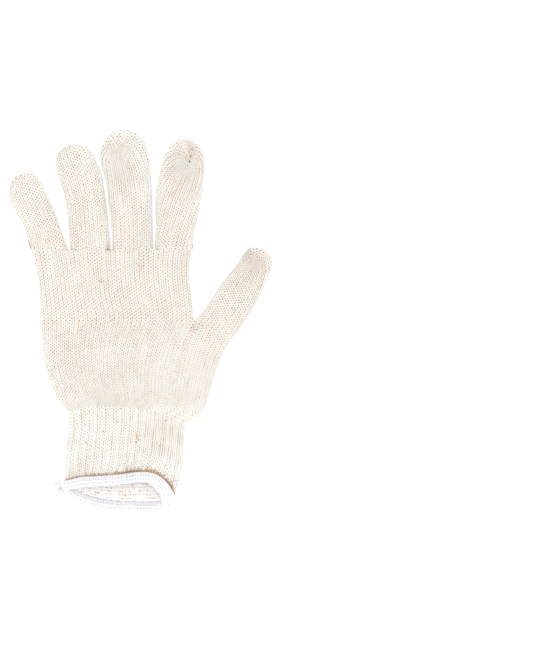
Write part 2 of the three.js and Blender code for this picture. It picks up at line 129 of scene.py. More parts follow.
# %% A socket that can be used in a formula
class Wire:
    def __init__(self, tree, socket):
        self.tree = tree
        self.socket = socket

    def node(self, kind, settings=None, inputs=None, output=0):
        made = self.tree.nodes.new(kind)
        for name, value in (settings or {}).items():
            if name == "stops":
                ramp = made.color_ramp.elements
                while len(ramp) < len(value):
                    ramp.new(0.5)
                for element, (position, colour) in zip(ramp, value):
                    element.position = position
                    element.color = (*colour, 1)
            else:
                setattr(made, name, value)
        for name, value in (inputs or {}).items():
            if isinstance(value, Wire):
                self.tree.links.new(value.socket, made.inputs[name])
            else:
                colour = isinstance(value, tuple) and made.inputs[name].type == "RGBA"
                made.inputs[name].default_value = (*value, 1) if colour else value
        return Wire(self.tree, made.outputs[output])

    def maths(self, operation, *values):
        return self.node("ShaderNodeMath", {"operation": operation}, dict(enumerate(values)))

    def __add__(self, other):
        return self.maths("ADD", self, other)

    def __rsub__(self, other):
        return self.maths("SUBTRACT", other, self)

    def __mul__(self, other):
        return self.maths("MULTIPLY", self, other)

    __rmul__ = __mul__

    def noise(self, scale, detail=2.0):
        settings = {"Vector": self, "Scale": scale, "Detail": detail}
        return self.node("ShaderNodeTexNoise", None, settings)

    def ramp(self, dark, light, dark_at, light_at):
        stops = [(dark_at, dark), (light_at, light)]
        return self.node("ShaderNodeValToRGB", {"stops": stops}, {0: self})

    def clamp(self):
        return self.node("ShaderNodeClamp", None, {"Value": self})

    def tint(self, other, share):
        settings = {"data_type": "RGBA", "blend_type": "MIX"}
        return self.node("ShaderNodeMix", settings, {0: share, 6: self, 7: other}, 2)

    def times(self, other, share=1.0):
        settings = {"data_type": "RGBA", "blend_type": "MULTIPLY"}
        return self.node("ShaderNodeMix", settings, {0: share, 6: self, 7: other}, 2)


def linear(red, green, blue):
    """A colour as a paint chart gives it, 0 to 255, as the light that it reflects."""
    return tuple(((c / 255 + 0.055) / 1.055) ** 2.4 for c in (red, green, blue))


def finish(name, roughness, sheen=0.0):
    """A new material, its Principled shader, and a wire to start a formula from."""
    material = bpy.data.materials.new(name)
    material.use_nodes = True
    shader = material.node_tree.nodes["Principled BSDF"]
    shader.inputs["Roughness"].default_value = roughness
    shader.inputs["Specular IOR Level"].default_value = 0.2
    shader.inputs["Sheen Weight"].default_value = sheen
    shader.inputs["Sheen Roughness"].default_value = 0.5
    return material, shader, Wire(material.node_tree, None)


def connect(material, shader, colour, bump=None):
    material.node_tree.links.new(colour.socket, shader.inputs["Base Color"])
    if bump is not None:
        material.node_tree.links.new(bump.socket, shader.inputs["Normal"])
    return material


# %% [markdown]
# ## Cotton string
# The string is several loosely twisted yarns of natural cotton. Close up it shows the slant of its twist, a
# fuzz of fibres, and a colour that wanders between cream and grey. The loops carry two attributes: "place"
# says how far along the string a point is and how far round it, which is what a twist needs, and
# "fibre" is the tint of the cotton just there: slubs, and painted shade, the warm brown that
# light takes on down between the loops.

# %% Finish of the cotton string
TWIST_PER_MM = 5.2  # radians
TWIST_ROUND = 12.566  # radians once round, because two yarns are twisted together
PATCHES, FUZZ = 60.0, 2400.0  # scales of the patches of colour and of the fibres


def string_finish(name, light, dark, twist_depth):
    material, shader, wire = finish(name, roughness=0.95, sheen=0.1)
    place = wire.node("ShaderNodeAttribute", {"attribute_name": "place"}, None, 1)
    along = wire.node("ShaderNodeSeparateXYZ", None, {0: place}, 0)
    around = wire.node("ShaderNodeSeparateXYZ", None, {0: place}, 1)
    slant = along * TWIST_PER_MM + around * TWIST_ROUND
    twist = slant.maths("SINE", slant)
    fibre = wire.node("ShaderNodeAttribute", {"attribute_name": "fibre"}, None, 0)
    where = wire.node("ShaderNodeTexCoord", None, None, 3)
    colour = where.noise(PATCHES).ramp(dark, light, 0.35, 0.62)
    # painted shade: the grooves of the twist, where the bump is low, are tinted darker
    colour = fibre.times(colour).tint(dark, (0.16 - 0.16 * twist).clamp())
    height = twist * 0.5 + where.noise(FUZZ, detail=3.0) * 0.6
    bump = wire.node("ShaderNodeBump", None, {"Strength": 0.5, "Distance": twist_depth, "Height": height})
    return connect(material, shader, colour, bump)


COTTON = string_finish("natural_cotton_string", linear(247, 246, 243), linear(242, 240, 236), 0.00012)
# painted shade of the crease above the band, drawn as brown strings
CREASE_SHADE_BROWN = string_finish("brown_crease_shade_string", linear(212, 176, 128), linear(168, 130, 82), 0.00012)
WHITE = string_finish("white_overlock_thread", linear(246, 246, 250), linear(236, 237, 244), 0.00008)
print("strings:", COTTON.name, CREASE_SHADE_BROWN.name, WHITE.name)

# %% [markdown]
# Between the loops one looks into the fabric's depth: loose fibres and the backs of the loops, in warm
# brown shade. A thin wall stands for that depth, in the middle of the fabric, so that no gap shows bare
# air, and its outer face is painted in that shade.

# %% Finish of the depth between the loops
THUMB_CROTCH_Y = 0.002  # metres
PALER_PER_METRE = 22  # how fast the paler colours take over


def ground_finish(name, light, dark, paler=None):
    """paler is another pair of colours, a paler painted shade, which takes over from the thumb crotch down to
    the wrist.
    """
    material, shader, wire = finish(name, roughness=1.0)
    where = wire.node("ShaderNodeTexCoord", None, None, 3)
    cloud = where.noise(150.0, detail=3.0)
    colour = cloud.ramp(dark, light, 0.38, 0.64)
    if paler:
        y = where.node("ShaderNodeSeparateXYZ", None, {0: where}, 1)
        share = ((THUMB_CROTCH_Y - y) * PALER_PER_METRE).clamp()
        colour = colour.tint(cloud.ramp(paler[1], paler[0], 0.38, 0.64), share)
    fuzz = where.noise(1800.0)
    bump = wire.node("ShaderNodeBump", None, {"Strength": 0.6, "Distance": 0.0002, "Height": fuzz})
    return connect(material, shader, colour, bump)


# painted shade: the warm brown seen down between the loops, paler on the lower palm and on the cuff
GROUND = ground_finish("cotton_depth_painted_shade", linear(222, 162, 50), linear(180, 124, 30))
LOW_GROUND = ground_finish("lower_palm_depth_painted_shade", linear(222, 162, 50), linear(180, 124, 30),
                           paler=(linear(234, 208, 164), linear(200, 170, 122)))
CUFF_GROUND = ground_finish("cuff_depth", linear(226, 211, 188), linear(190, 168, 136))
CUFF_LINING = ground_finish("cuff_lining", linear(240, 239, 239), linear(234, 230, 225))
print("depths:", GROUND.name, LOW_GROUND.name, CUFF_GROUND.name, CUFF_LINING.name)

floor_material, floor_shader, floor_wire = finish("glowing_white_table", roughness=0.8)
floor_where = floor_wire.node("ShaderNodeTexCoord", None, None, 3)
floor_colour = floor_where.noise(300.0).ramp((0.95,) * 3, (0.97,) * 3, 0.3, 0.7)
connect(floor_material, floor_shader, floor_colour)
floor_mesh = bpy.data.meshes.new("table_top")
floor_mesh.from_pydata([(-3, -3, 0), (3, -3, 0), (3, 3, 0), (-3, 3, 0)], [], [(0, 1, 2, 3)])
floor = bpy.data.objects.new("table_top", floor_mesh)
floor.location = (0, 0, -0.0002)
floor_mesh.materials.append(floor_material)
scene.collection.objects.link(floor)
# the table top glows a little: painted light that washes out the shadows round the glove and lights it from
# below
floor_shader.inputs["Emission Color"].default_value = (1, 1, 1, 1)
floor_shader.inputs["Emission Strength"].default_value = 0.5

# %% [markdown]
# ## The tubes
# Each tube of the glove is a stack of courses, its rows of stitches. A row of a table gives one course by
# its left and right edge on the table top and by the tube's height there, and a smooth curve fills in the
# rows between. These are the same rows as in the solid model, so the loops lie where the solid wall is.

# %% The courses of fingers, palm and cuff, in millimetres
LITTLE = [
    (-70.7, 45.0, -45.7, 45.0, 9.8),
    (-72.7, 51.0, -49.4, 55.5, 9.3),
    (-75.3, 58.7, -52.6, 65.4, 9.0),
    (-80.1, 68.3, -56.5, 74.6, 9.2),
    (-83.9, 77.2, -60.3, 82.9, 9.0),
]
RING = [
    (-45.1, 45.0, -18.7, 45.0, 10.2),
    (-46.6, 58.7, -19.8, 60.6, 9.8),
    (-48.2, 74.6, -21.9, 77.8, 9.6),
    (-52.0, 88.7, -24.5, 93.8, 9.8),
    (-54.9, 97.6, -28.2, 102.9, 9.4),
]
MIDDLE = [
    (-18.1, 45.0, 8.7, 45.0, 10.4),
    (-18.9, 60.6, 8.3, 60.6, 10.0),
    (-20.9, 76.6, 8.0, 77.2, 10.0),
    (-22.9, 90.6, 7.3, 91.9, 10.2),
    (-26.2, 101.4, 5.9, 104.4, 9.8),
]
INDEX = [
    (9.3, 45.0, 33.7, 45.0, 10.2),
    (9.5, 60.6, 35.9, 58.1, 9.8),
    (9.2, 74.6, 38.9, 73.4, 9.8),
    (10.6, 88.7, 41.1, 85.5, 10.0),
    (13.2, 98.3, 42.1, 96.0, 9.6),
]
THUMB = [
    (35.2, 0.5, 59.0, -13.9, 10.4),
    (42.3, 9.7, 66.1, -4.0, 9.9),
    (50.8, 22.7, 73.9, 9.0, 9.6),
    (57.5, 31.8, 78.6, 18.2, 9.4),
    (62.5, 38.0, 81.7, 25.8, 9.0),
]
FOUR_FINGER_BODY = [
    (-64.1, 0.4, 34.6, 0.4, 11.0),
    (-64.9, 12.8, 33.6, 12.8, 11.0),
    (-66.4, 25.5, 32.2, 25.5, 10.8),
    (-68.2, 35.7, 32.1, 35.7, 10.5),
    (-70.6, 44.7, 33.6, 44.7, 10.2),
]
# left x y, bend x y, right x y, softness of the bend, height, shift of the upper side, shift of the underside
FIVE_FINGER_BODY = [
    (-47.2, -58.4, -8.0, -62.5, 30.0, -66.4, 20, 11.2, 8.0, -4.0),
    (-50.4, -55.2, 0.0, -58.6, 39.6, -61.6, 20, 11.2, 7.2, -3.6),
    (-53.4, -51.0, 6.4, -54.2, 42.4, -55.5, 18, 11.4, 6.2, -3.2),
    (-58.7, -38.9, 20.4, -41.5, 45.6, -44.7, 14, 11.6, 4.0, -2.0),
    (-62.3, -25.5, 27.4, -27.4, 48.8, -34.5, 9, 11.6, 2.0, -1.0),
    (-63.3, -11.5, 31.9, -12.8, 52.6, -24.2, 5, 11.3, 0.6, -0.3),
    (-64.1, 0.0, 34.8, 0.0, 58.7, -14.3, 1, 11.0, 0.0, 0.0),
]
CUFF = [
    (-49.1, -102.7, 22.6, -110.4, 12.0),
    (-49.1, -95.7, 26.9, -96.7, 11.4),
    (-48.2, -82.9, 28.1, -86.1, 10.8),
    (-46.6, -70.2, 28.7, -76.6, 10.6),
    (-47.2, -58.7, 29.8, -66.7, 11.2),
]
# share of the way across, y of the last row on the upper layer and on the under layer, height of the mouth
MOUTH = np.array([
    (0.0, -102.4, -102.4, 7.5),
    (0.11, -98.4, -109.6, 8.8),
    (0.28, -98.3, -114.0, 10.6),
    (0.49, -97.4, -116.3, 12.2),
    (0.69, -95.1, -116.6, 13.4),
    (0.82, -94.7, -116.6, 13.0),
    (0.91, -97.6, -116.2, 11.8),
    (0.97, -103.6, -115.2, 10.0),
    (1.0, -112.5, -112.5, 8.5),
])
# share of the way across, rise, half width as a share, reach towards the palm
WRIST_FOLDS = [(0.24, 0.4, 0.05, 26), (0.43, 0.4, 0.05, 20), (0.6, 0.4, 0.05, 24), (0.78, 0.5, 0.06, 22)]
EDGE_RADIUS = 3.9  # mm, at which the lower side of a lying tube turns up
EDGE_SHARE = 0.45  # that radius is never more than this share of the tube's height
CROWN_SHARPNESS = 3.0  # 2 makes the top an ellipse, more gives it a flatter, wider top
LAYER_SHARPNESS = 3  # how suddenly the shift of a tube's layers fades out at its two edges
FOLD_SHARPNESS = 4  # how closely the wrist's folds keep to the upper side
OUTLINE_STEPS = 720

# %% [markdown]
# A lying tube is flat below, turns up round its sides and is crowned above. outline() walks once round that
# shape and drops points at equal steps of cloth, because stitches are all one width. The walk is moved
# inwards by the depth at which the string's middle runs.

# %% The shape of a lying tube
TINY = 1e-9  # keeps a length of nought from dividing


def unit(arrows):
    """The same directions, each one long."""
    return arrows / np.maximum(TINY, np.linalg.norm(arrows, axis=-1))[..., None]


def smooth(share):
    share = np.clip(share, 0, 1)
    return share * share * (3 - 2 * share)


def lying(offset, half, tall):
    """Height of the upper and the lower face of a lying tube, at offsets from its middle."""
    radius = min(EDGE_RADIUS, tall * EDGE_SHARE)
    aside = np.minimum(np.abs(offset), half)
    top = radius + (tall - radius) * np.sqrt(1 - (aside / half) ** CROWN_SHARPNESS)
    past = np.maximum(0, aside - (half - radius))
    return top, radius - np.sqrt(radius ** 2 - past ** 2)


def outline(half, tall, count, inset, meet=None, places=None):
    """count points round a lying tube, at even places or at the places given as shares of the way round. meet
    changes its section where it meets another tube."""
    turn = np.linspace(0, 2 * math.pi, OUTLINE_STEPS + 1)[:-1]
    x = -half * np.cos(turn)
    top, under = lying(x, half, tall)
    if meet is not None:
        top, under = meet(x, top, under)
    fine = np.column_stack([x, np.where(turn <= math.pi, top, under)])
    along = unit(np.roll(fine, -1, 0) - np.roll(fine, 1, 0))
    fine = fine - inset * np.column_stack([-along[:, 1], along[:, 0]])
    loop = np.vstack([fine, fine[:1]])
    reached = np.concatenate([[0], np.cumsum(np.linalg.norm(np.diff(loop, axis=0), axis=1))])
    wanted = reached[-1] * (np.arange(count) / count if places is None else places)
    return np.column_stack([np.interp(wanted, reached, loop[:, 0]), np.interp(wanted, reached, loop[:, 1])])


def row_at(rows, share):
    """The course at a share of the way through a table, on a smooth curve through its rows."""
    rows = np.array(rows, float)
    rows = np.vstack([2 * rows[0] - rows[1], rows, 2 * rows[-1] - rows[-2]])
    place = share * (len(rows) - 3)
    first = min(int(place), len(rows) - 4)
    t = place - first
    a, b, c, d = rows[first:first + 4]
    square, cube = 2 * a - 5 * b + 4 * c - d, 3 * b - a - 3 * c + d
    return 0.5 * (2 * b + (c - a) * t + square * t ** 2 + cube * t ** 3)


def layer_weight(share):
    """How much of the layers' shift is left at a share of the way across: none at the edges."""
    return 1 - np.abs(2 * share - 1) ** LAYER_SHARPNESS


def mouth_at(share, column):
    """One column of the mouth's table, on a smooth curve through its rows."""
    at, values = MOUTH[:, 0], MOUTH[:, column]
    slope = np.empty(len(at))
    slope[1:-1] = (values[2:] - values[:-2]) / (at[2:] - at[:-2])
    slope[0] = (values[1] - values[0]) / (at[1] - at[0])
    slope[-1] = (values[-1] - values[-2]) / (at[-1] - at[-2])
    low = np.clip(np.searchsorted(at, share, "right") - 1, 0, len(at) - 2)
    length = at[low + 1] - at[low]
    t = np.clip((share - at[low]) / length, 0, 1)
    mixed = values[low] + (values[low + 1] - values[low]) * smooth(t)
    return mixed + length * t * (1 - t) * ((1 - t) * slope[low] - t * slope[low + 1])


# %% [markdown]
# A tube is kept as a fine grid of points: round it in equal steps of cloth, along it in rings. The class
# below answers one question for whole arrays at once: where is the cloth, and which way does it face, at
# this many wales round and this many courses along? Loops that reach past an end follow the tube's own
# slope there.

# %% A tube of cloth that can be asked for any point
PER_WALE = 4  # columns of points for each wale


def sample(grid, reached, place, column):
    """Values of a grid at places along it, and at columns round it, where the grid closes on itself."""
    left = np.floor(column).astype(int)
    across = column - left
    left, right = left % grid.shape[1], (left + 1) % grid.shape[1]
    low = np.clip(np.searchsorted(reached, place, "right") - 1, 0, len(reached) - 2)
    up = (place - reached[low]) / (reached[low + 1] - reached[low])
    if grid.ndim == 3:
        across, up = across[..., None], up[..., None]
    lower = grid[low, left] * (1 - across) + grid[low, right] * across
    upper = grid[low + 1, left] * (1 - across) + grid[low + 1, right] * across
    return lower * (1 - up) + upper * up


class Tube:
    """rings of points, their heights counted in courses, and the wales round them. twist is how far the wales
    wind round the tube, in wales for each course."""

    def __init__(self, rings, wales, heights, twist=0.0):
        self.points = np.array(rings) + SHIFT
        self.wales = wales
        self.twist = twist
        self.reached = np.array(heights, float)
        self.courses = int(round(self.reached[-1]))
        around = np.roll(self.points, -1, 1) - np.roll(self.points, 1, 1)
        along = np.gradient(self.points, self.reached, axis=0)
        facing = np.cross(around, along)
        self.facing = unit(facing)
        wide, high = np.linalg.norm(around, axis=2), np.linalg.norm(along, axis=2)
        self.wale_width, self.course_height = wide * PER_WALE / 2, high
        self.square = np.linalg.norm(facing, axis=2) / np.maximum(TINY, wide * high)

    def value(self, grid, u, v):
        return sample(grid, self.reached, v, (u + self.twist * v) * PER_WALE)

    def at(self, u, v):
        return self.value(self.points, u, v), unit(self.value(self.facing, u, np.clip(v, 0, self.courses)))

    def size(self, u, v):
        """Width and height of a stitch, and how squarely it stands: 1 is a right angle, 0 is flattened."""
        v = np.clip(v, 0, self.courses)
        return [self.value(grid, u, v) for grid in (self.wale_width, self.course_height, self.square)]


STRING_DEPTH = 0.82  # mm from the tube's outer face to the middle of the string
COURSE = 1.92  # mm, height of a stitch
PALM_END = FOUR_FINGER_BODY[-1]
PALM_END_Y = LITTLE[0][1]
PALM_START = FOUR_FINGER_BODY[0]
MEETING = 18  # mm over which a tube's section turns into that of the tube it runs into


def straight_ring(row, wales, to_palm=None):
    """A course of a straight tube. to_palm is how far it lies from the palm's end, where a finger starts."""
    left_x, left_y, right_x, right_y, tall = row
    half = math.dist((left_x, left_y), (right_x, right_y)) / 2
    across = unit(np.array([right_x - left_x, right_y - left_y]))

    def meet_palm(x, top, under):
        palm_half = (PALM_END[2] - PALM_END[0]) / 2
        middle_x = (left_x + right_x) / 2 - (PALM_END[0] + PALM_END[2]) / 2
        palm_top = lying(middle_x + x, palm_half, PALM_END[4])[0]
        return top + (np.minimum(top, palm_top) - top) * smooth(1 - to_palm / MEETING), under

    shape = outline(half, tall, wales * PER_WALE, STRING_DEPTH, None if to_palm is None else meet_palm)
    centre = np.array([left_x + right_x, left_y + right_y]) / 2
    return np.column_stack([centre + shape[:, :1] * across, shape[:, 1]])


def reach_along(rings):
    """How far each ring lies along its tube, in mm."""
    steps = np.linalg.norm(np.diff(np.array(rings), axis=0), axis=2).mean(axis=1)
    return np.concatenate([[0], np.cumsum(steps)])


def even_heights(rings, course=COURSE):
    """The heights of rings, counted in courses."""
    length = reach_along(rings)
    return length / length[-1] * max(1, round(length[-1] / course))


def body_tube(rows, wales, steps):
    rings = [straight_ring(row_at(rows, k / steps), wales) for k in range(steps + 1)]
    return Tube(rings, wales, even_heights(rings))


# %% [markdown]
# ## Fingertips
# A glove machine starts each finger at its tip, and the first courses are gathered to a small closure that
# lies on one face of the finger, not on its end. The wales of the other faces reach it round the end, in
# arcs. Seen along the finger, the last part of the tube is a disc: its rim is an ordinary course, its
# centre the finger's end. On that disc every course is a circle inside the one before, and their middles
# slide to the closure.

# %% Fingers that close to one side
END_STEPS = 30
END_FULLNESS = 0.9  # 1 makes a fingertip round in plan, less makes it blunter
GATHERED = 0.012  # share of the disc's radius at which the last course lies


def finger_tube(rows, tip, wales, tip_from, tip_courses, closure, turn, slit=0.0, slant=0.0, twist=0.0):
    """tip_from is how many mm before its end the finger's courses start to lean to the closure. closure is
    its share of that length from the end, and turn its side: 90 degrees is the upper face's middle. slit
    makes it long, and slant turns it."""
    columns = wales * PER_WALE
    steps = 8 * (len(rows) - 1)
    courses = [row_at(rows, k / steps) for k in range(steps + 1)]
    at_palm = rows[0][1] == PALM_END_Y
    rings = [straight_ring(row, wales, row[1] - PALM_END_Y if at_palm else None) for row in courses]
    left_x, left_y, right_x, right_y = rows[-1][:4]
    across = unit(np.array([right_x - left_x, right_y - left_y, 0]))
    forward = np.array([-across[1], across[0], 0])
    centre = np.array([(left_x + right_x) / 2, (left_y + right_y) / 2, EDGE_RADIUS])
    for k in range(1, END_STEPS + 1):
        lift = (math.pi / 2) * k / END_STEPS
        shrunk = math.cos(lift) ** END_FULLNESS if k < END_STEPS else 0
        ahead = forward * (tip - STRING_DEPTH) * math.sin(lift)
        rings.append(centre + (rings[steps] - centre) * shrunk + ahead)
    rings = np.array(rings)
    reached = reach_along(rings)
    start = reached[-1] - tip_from
    plain = max(1, round(start / COURSE))
    made = []
    for k in range(plain * 2):
        made.append(sample(rings, reached, np.full(columns, start * k / (plain * 2)), np.arange(columns)))
    rim = np.exp(2j * math.pi * np.arange(columns) / columns)
    to_closure = np.exp(1j * math.radians(turn))
    along_slit = np.exp(1j * math.radians(turn + slant))
    for k in range(tip_courses * 2 + 1):
        s = k / (tip_courses * 2) * (1 - GATHERED)
        near = math.tan(math.pi / 4 * (1 - s + closure * s * s))
        far = -math.tan(math.pi / 4 * (1 - s - closure * s * s))
        ring = (near - far) / 2 * rim + slit * s ** 4 * (rim / along_slit).real * along_slit
        moved = (near + far) / 2 * to_closure + ring
        place = reached[-1] - tip_from * np.arctan(np.abs(moved)) / (math.pi / 4)
        column = (np.angle(moved) / (2 * math.pi) * columns) % columns
        made.append(sample(rings, reached, place, column))
    return Tube(made, wales, np.arange(len(made)) / 2, twist)


# %% [markdown]
# ## Palm with the root of the thumb
# Below the thumb one big tube takes in both the palm and the thumb. Its courses run across the palm, bend,
# and go on square to the thumb. Towards the wrist the bend fades, and the cuff's elastic gathers the cloth
# into folds.

# %% The body that bends into the thumb
WRIST_TO_FORK_STEPS = 36
PALM_WALES, THUMB_WALES = 70, 22
PALM_HALF = (PALM_START[2] - PALM_START[0]) / 2
FORK_STEPS = 4000
MATCHING = 40  # mm over which the wales shift to meet those of the palm and the thumb
FORK_DIP = 4.2  # mm that the cloth dips at the thumb's fork
FORK_TO_PALM, FORK_TO_THUMB = 12, 5  # mm that the dip reaches to each side


def fork_section(half, share):
    """How the section changes near the thumb's fork, where it becomes the palm's and the thumb's."""
    def meet(x, top, under):
        past_fork = x + half - 2 * PALM_HALF
        thumb_half = half - PALM_HALF
        thumb = lying(past_fork - thumb_half, thumb_half, THUMB[0][4])[0]
        dip = FORK_DIP * np.exp(-(past_fork / np.where(past_fork > 0, FORK_TO_THUMB, FORK_TO_PALM)) ** 2)
        met = np.where(past_fork > 0, np.maximum(top, thumb), top) - dip
        return top + (met - top) * share, under
    return meet


def fork_places():
    """Where the wales of palm and thumb arrive at the fork, as shares of the way round the big tube."""
    row = FIVE_FINGER_BODY[-1]
    half = (math.dist(row[0:2], row[2:4]) + math.dist(row[2:4], row[4:6])) / 2
    fine = outline(half, row[7], 2 * FORK_STEPS, STRING_DEPTH, fork_section(half, 1.0))[:, 0] + half
    share = np.arange(2 * FORK_STEPS) / (2 * FORK_STEPS)
    palm = outline(PALM_HALF, PALM_START[4], PALM_WALES * PER_WALE, STRING_DEPTH)[:, 0] + PALM_HALF
    thumb_half = math.dist(THUMB[0][0:2], THUMB[0][2:4]) / 2
    thumb = outline(thumb_half, THUMB[0][4], THUMB_WALES * PER_WALE, STRING_DEPTH)[:, 0]
    thumb = thumb + thumb_half + 2 * PALM_HALF
    (palm_top, palm_back), (thumb_top, thumb_back) = np.split(palm, 2), np.split(thumb, 2)
    upper = np.interp(np.concatenate([palm_top, thumb_top]), fine[:FORK_STEPS], share[:FORK_STEPS])
    back = np.concatenate([thumb_back, palm_back])
    back = np.interp(back, fine[:FORK_STEPS - 1:-1], share[:FORK_STEPS - 1:-1])
    places = np.concatenate([upper, back])
    places[0] = 0
    return np.maximum.accumulate(places)


def bend_ring(row, wales, from_wrist, to_fork, at_fork):
    left, bend, right = np.array(row[0:2]), np.array(row[2:4]), np.array(row[4:6])
    soft, tall, top_shift, under_shift = row[6:10]
    first, second = np.linalg.norm(bend - left), np.linalg.norm(right - bend)
    half = (first + second) / 2
    even = np.arange(wales * PER_WALE) / (wales * PER_WALE)
    places = even + (at_fork - even) * smooth(1 - to_fork / MATCHING)
    section = fork_section(half, smooth(1 - to_fork / MEETING))
    shape = outline(half, tall, wales * PER_WALE, STRING_DEPTH, section, places)
    reached = shape[:, 0] + half
    share = reached / (2 * half)
    before, after = (bend - left) / first, (right - bend) / second
    into = np.clip((reached - first + soft) / (2 * soft), 0, 1)[:, None]
    start, end = bend - soft * before, bend + soft * after
    curve = start * (1 - into) ** 2 + bend * 2 * into * (1 - into) + end * into ** 2
    past_bend = (reached - first)[:, None]
    straight = np.where(into < 0.5, left + reached[:, None] * before, bend + past_bend * after)
    plan = np.where((into > 0) & (into < 1), curve, straight)
    high = shape[:, 1] / tall
    shift = (under_shift + (top_shift - under_shift) * high) * layer_weight(share)
    crown = high ** FOLD_SHARPNESS
    rise = sum(up * np.exp(-((share - at) / wide) ** 2) * max(0, 1 - from_wrist / reach) * crown
               for at, up, wide, reach in WRIST_FOLDS)
    return np.column_stack([plan[:, 0], plan[:, 1] + shift, shape[:, 1] + rise])


def bent_tube(wales):
    at_fork = fork_places()
    rings = []
    for k in range(WRIST_TO_FORK_STEPS + 1):
        row = row_at(FIVE_FINGER_BODY, k / WRIST_TO_FORK_STEPS)
        to_fork = FIVE_FINGER_BODY[-1][1] - row[1]
        rings.append(bend_ring(row, wales, row[1] - FIVE_FINGER_BODY[0][1], to_fork, at_fork))
    return Tube(rings, wales, even_heights(rings))


# %% [markdown]
# ## Cuff
# The cuff is knitted with elastic, so it stands in ribs. It was laid down with its mouth agape: the upper
# layer is drawn back and arched, and the inside of the under layer shows. The rings therefore start on the
# slanting line of the mouth and straighten towards the wrist.

# %% The ribbed cuff
CUFF_STEPS = 36


def cuff_ring(share_from_mouth, wales):
    row = row_at(CUFF, share_from_mouth)
    ring = straight_ring(row, wales)
    left_x, left_y, right_x, right_y, tall = row
    half = math.dist((left_x, left_y), (right_x, right_y)) / 2
    shape = outline(half, tall, wales * PER_WALE, STRING_DEPTH)
    share = (shape[:, 0] + half) / (2 * half)
    low_share = (shape[:, 1] - STRING_DEPTH) / (tall - 2 * STRING_DEPTH)
    high = np.maximum(0, np.where(shape[:, 1] < tall / 2, low_share, shape[:, 1] / tall))
    to_mouth = 1 - share_from_mouth
    straight = CUFF[0][1] + (CUFF[0][3] - CUFF[0][1]) * share
    wrist_top, wrist_under = (shift * layer_weight(share) for shift in FIVE_FINGER_BODY[0][8:10])
    top = wrist_top + (mouth_at(share, 1) - straight - wrist_top) * to_mouth
    under = wrist_under + (mouth_at(share, 2) - straight - wrist_under) * to_mouth
    ring[:, 1] += under + (top - under) * high
    ring[:, 2] *= 1 + (mouth_at(share, 3) / CUFF[0][4] - 1) * smooth(to_mouth)
    return ring


def cuff_tube(wales, course):
    rings = [cuff_ring(k / CUFF_STEPS, wales) for k in range(CUFF_STEPS + 1)]
    return Tube(rings, wales, even_heights(rings, course))


# tip length, wales, mm that lean to the closure, courses there, the closure's place and its side
TUBES = {
    "little_finger": finger_tube(LITTLE, 14.7, 20, 34, 18, 0.14, -40),
    "ring_finger": finger_tube(RING, 12.8, 22, 40, 21, 0.12, -60),
    "middle_finger": finger_tube(MIDDLE, 19.5, 22, 52, 27, 0.3, 66),
    "index_finger": finger_tube(INDEX, 19.1, 22, 50, 26, 0.3, 104, slit=0.09, slant=-12, twist=0.14),
    "thumb": finger_tube(THUMB, 16.0, THUMB_WALES, 40, 21, 0.27, 60),
    "four_finger_body": body_tube(FOUR_FINGER_BODY, PALM_WALES, steps=24),
    "five_finger_body": bent_tube(PALM_WALES + THUMB_WALES),
    "cuff": cuff_tube(wales=60, course=2.0),
}
for name, tube in TUBES.items():
    print(name, "wales", tube.wales, "courses", tube.courses)

# %% [markdown]
# ## One loop of plain knitting
# Seen flat, the string of a plain stitch swings sideways twice while it swings up and down once, and it
# dips behind the next loop twice. Three sines say just that. The glove is knitted from its fingertips down,
# so the round head of every loop points to the cuff. Each course closes on itself round the glove.

# %% Measures of a stitch
SEGMENTS = 10  # points of string for each stitch
SIDES = 4
STRING_HALF_DEPTH = 0.44  # mm
SWING = 1.6  # sideways swing; above 0.5 the neck of a loop is narrower than its head
REACH = 0.56  # height of a loop above and below its course, in courses
DIP = 0.36  # mm, in front of and behind the cloth's middle
# painted shade: this tint darkens the side of the string that faces into the cloth
DEEP_SHADE_TINT = (1.0, 0.93, 0.785)  # what the side of the string that faces into the cloth makes of white light
WALE = 2.75  # mm, width of a relaxed stitch
GATHER_BELOW = 0.6  # where wales are narrower than this share of a relaxed one, two run together
GAPE = 0.12  # how much wider a loop stands than the space beside it
HABIT_COURSES = 9  # after which a needle's habit has changed
random = np.random.default_rng(7)


def wander(count, length, spread):
    """Numbers that wander slowly along a string: slubs, thick places and thin ones."""
    knots = random.normal(0, spread, max(4, int(count / length) + 3))
    return np.interp(np.linspace(0, len(knots) - 1, count), np.arange(len(knots)), knots)


def wale_habit(rows, wales, spread):
    """How open each wale stands, course by course. A needle's own habit carries on down its wale."""
    knots = random.normal(0, spread, (int(rows / HABIT_COURSES) + 3, wales))
    place = np.linspace(0, len(knots) - 1.001, rows)
    low = place.astype(int)
    share = (place - low)[:, None]
    return knots[low] * (1 - share) + knots[low + 1] * share


print("a stitch is", WALE, "mm wide and", COURSE, "mm high, with", SEGMENTS, "points")

# %% [markdown]
# Everything soft here is a grid of points, so one function numbers its quads and another makes the mesh.
# Each piece goes with the frame's root and hides the solids it takes the place of.

# %% From points to a piece
LOWEST = 0.00005  # metres above the table, below which no point goes
LOWEST_STRING = 0.00002


def grid_faces(rows, columns, joined=False):
    """Quads of a grid that closes round its columns, and the row and column of each of their corners. joined
    closes the grid along its rows too."""
    row, column = np.meshgrid(np.arange(rows if joined else rows - 1), np.arange(columns), indexing="ij")
    around = ((0, 0), (0, 1), (1, 1), (1, 0))
    corners = np.stack([np.stack([row + up, column + on], -1) for up, on in around], 2)
    numbers = corners[..., 0] % rows * columns + corners[..., 1] % columns
    return numbers.reshape(-1, 4), corners.reshape(-1, 4, 2)


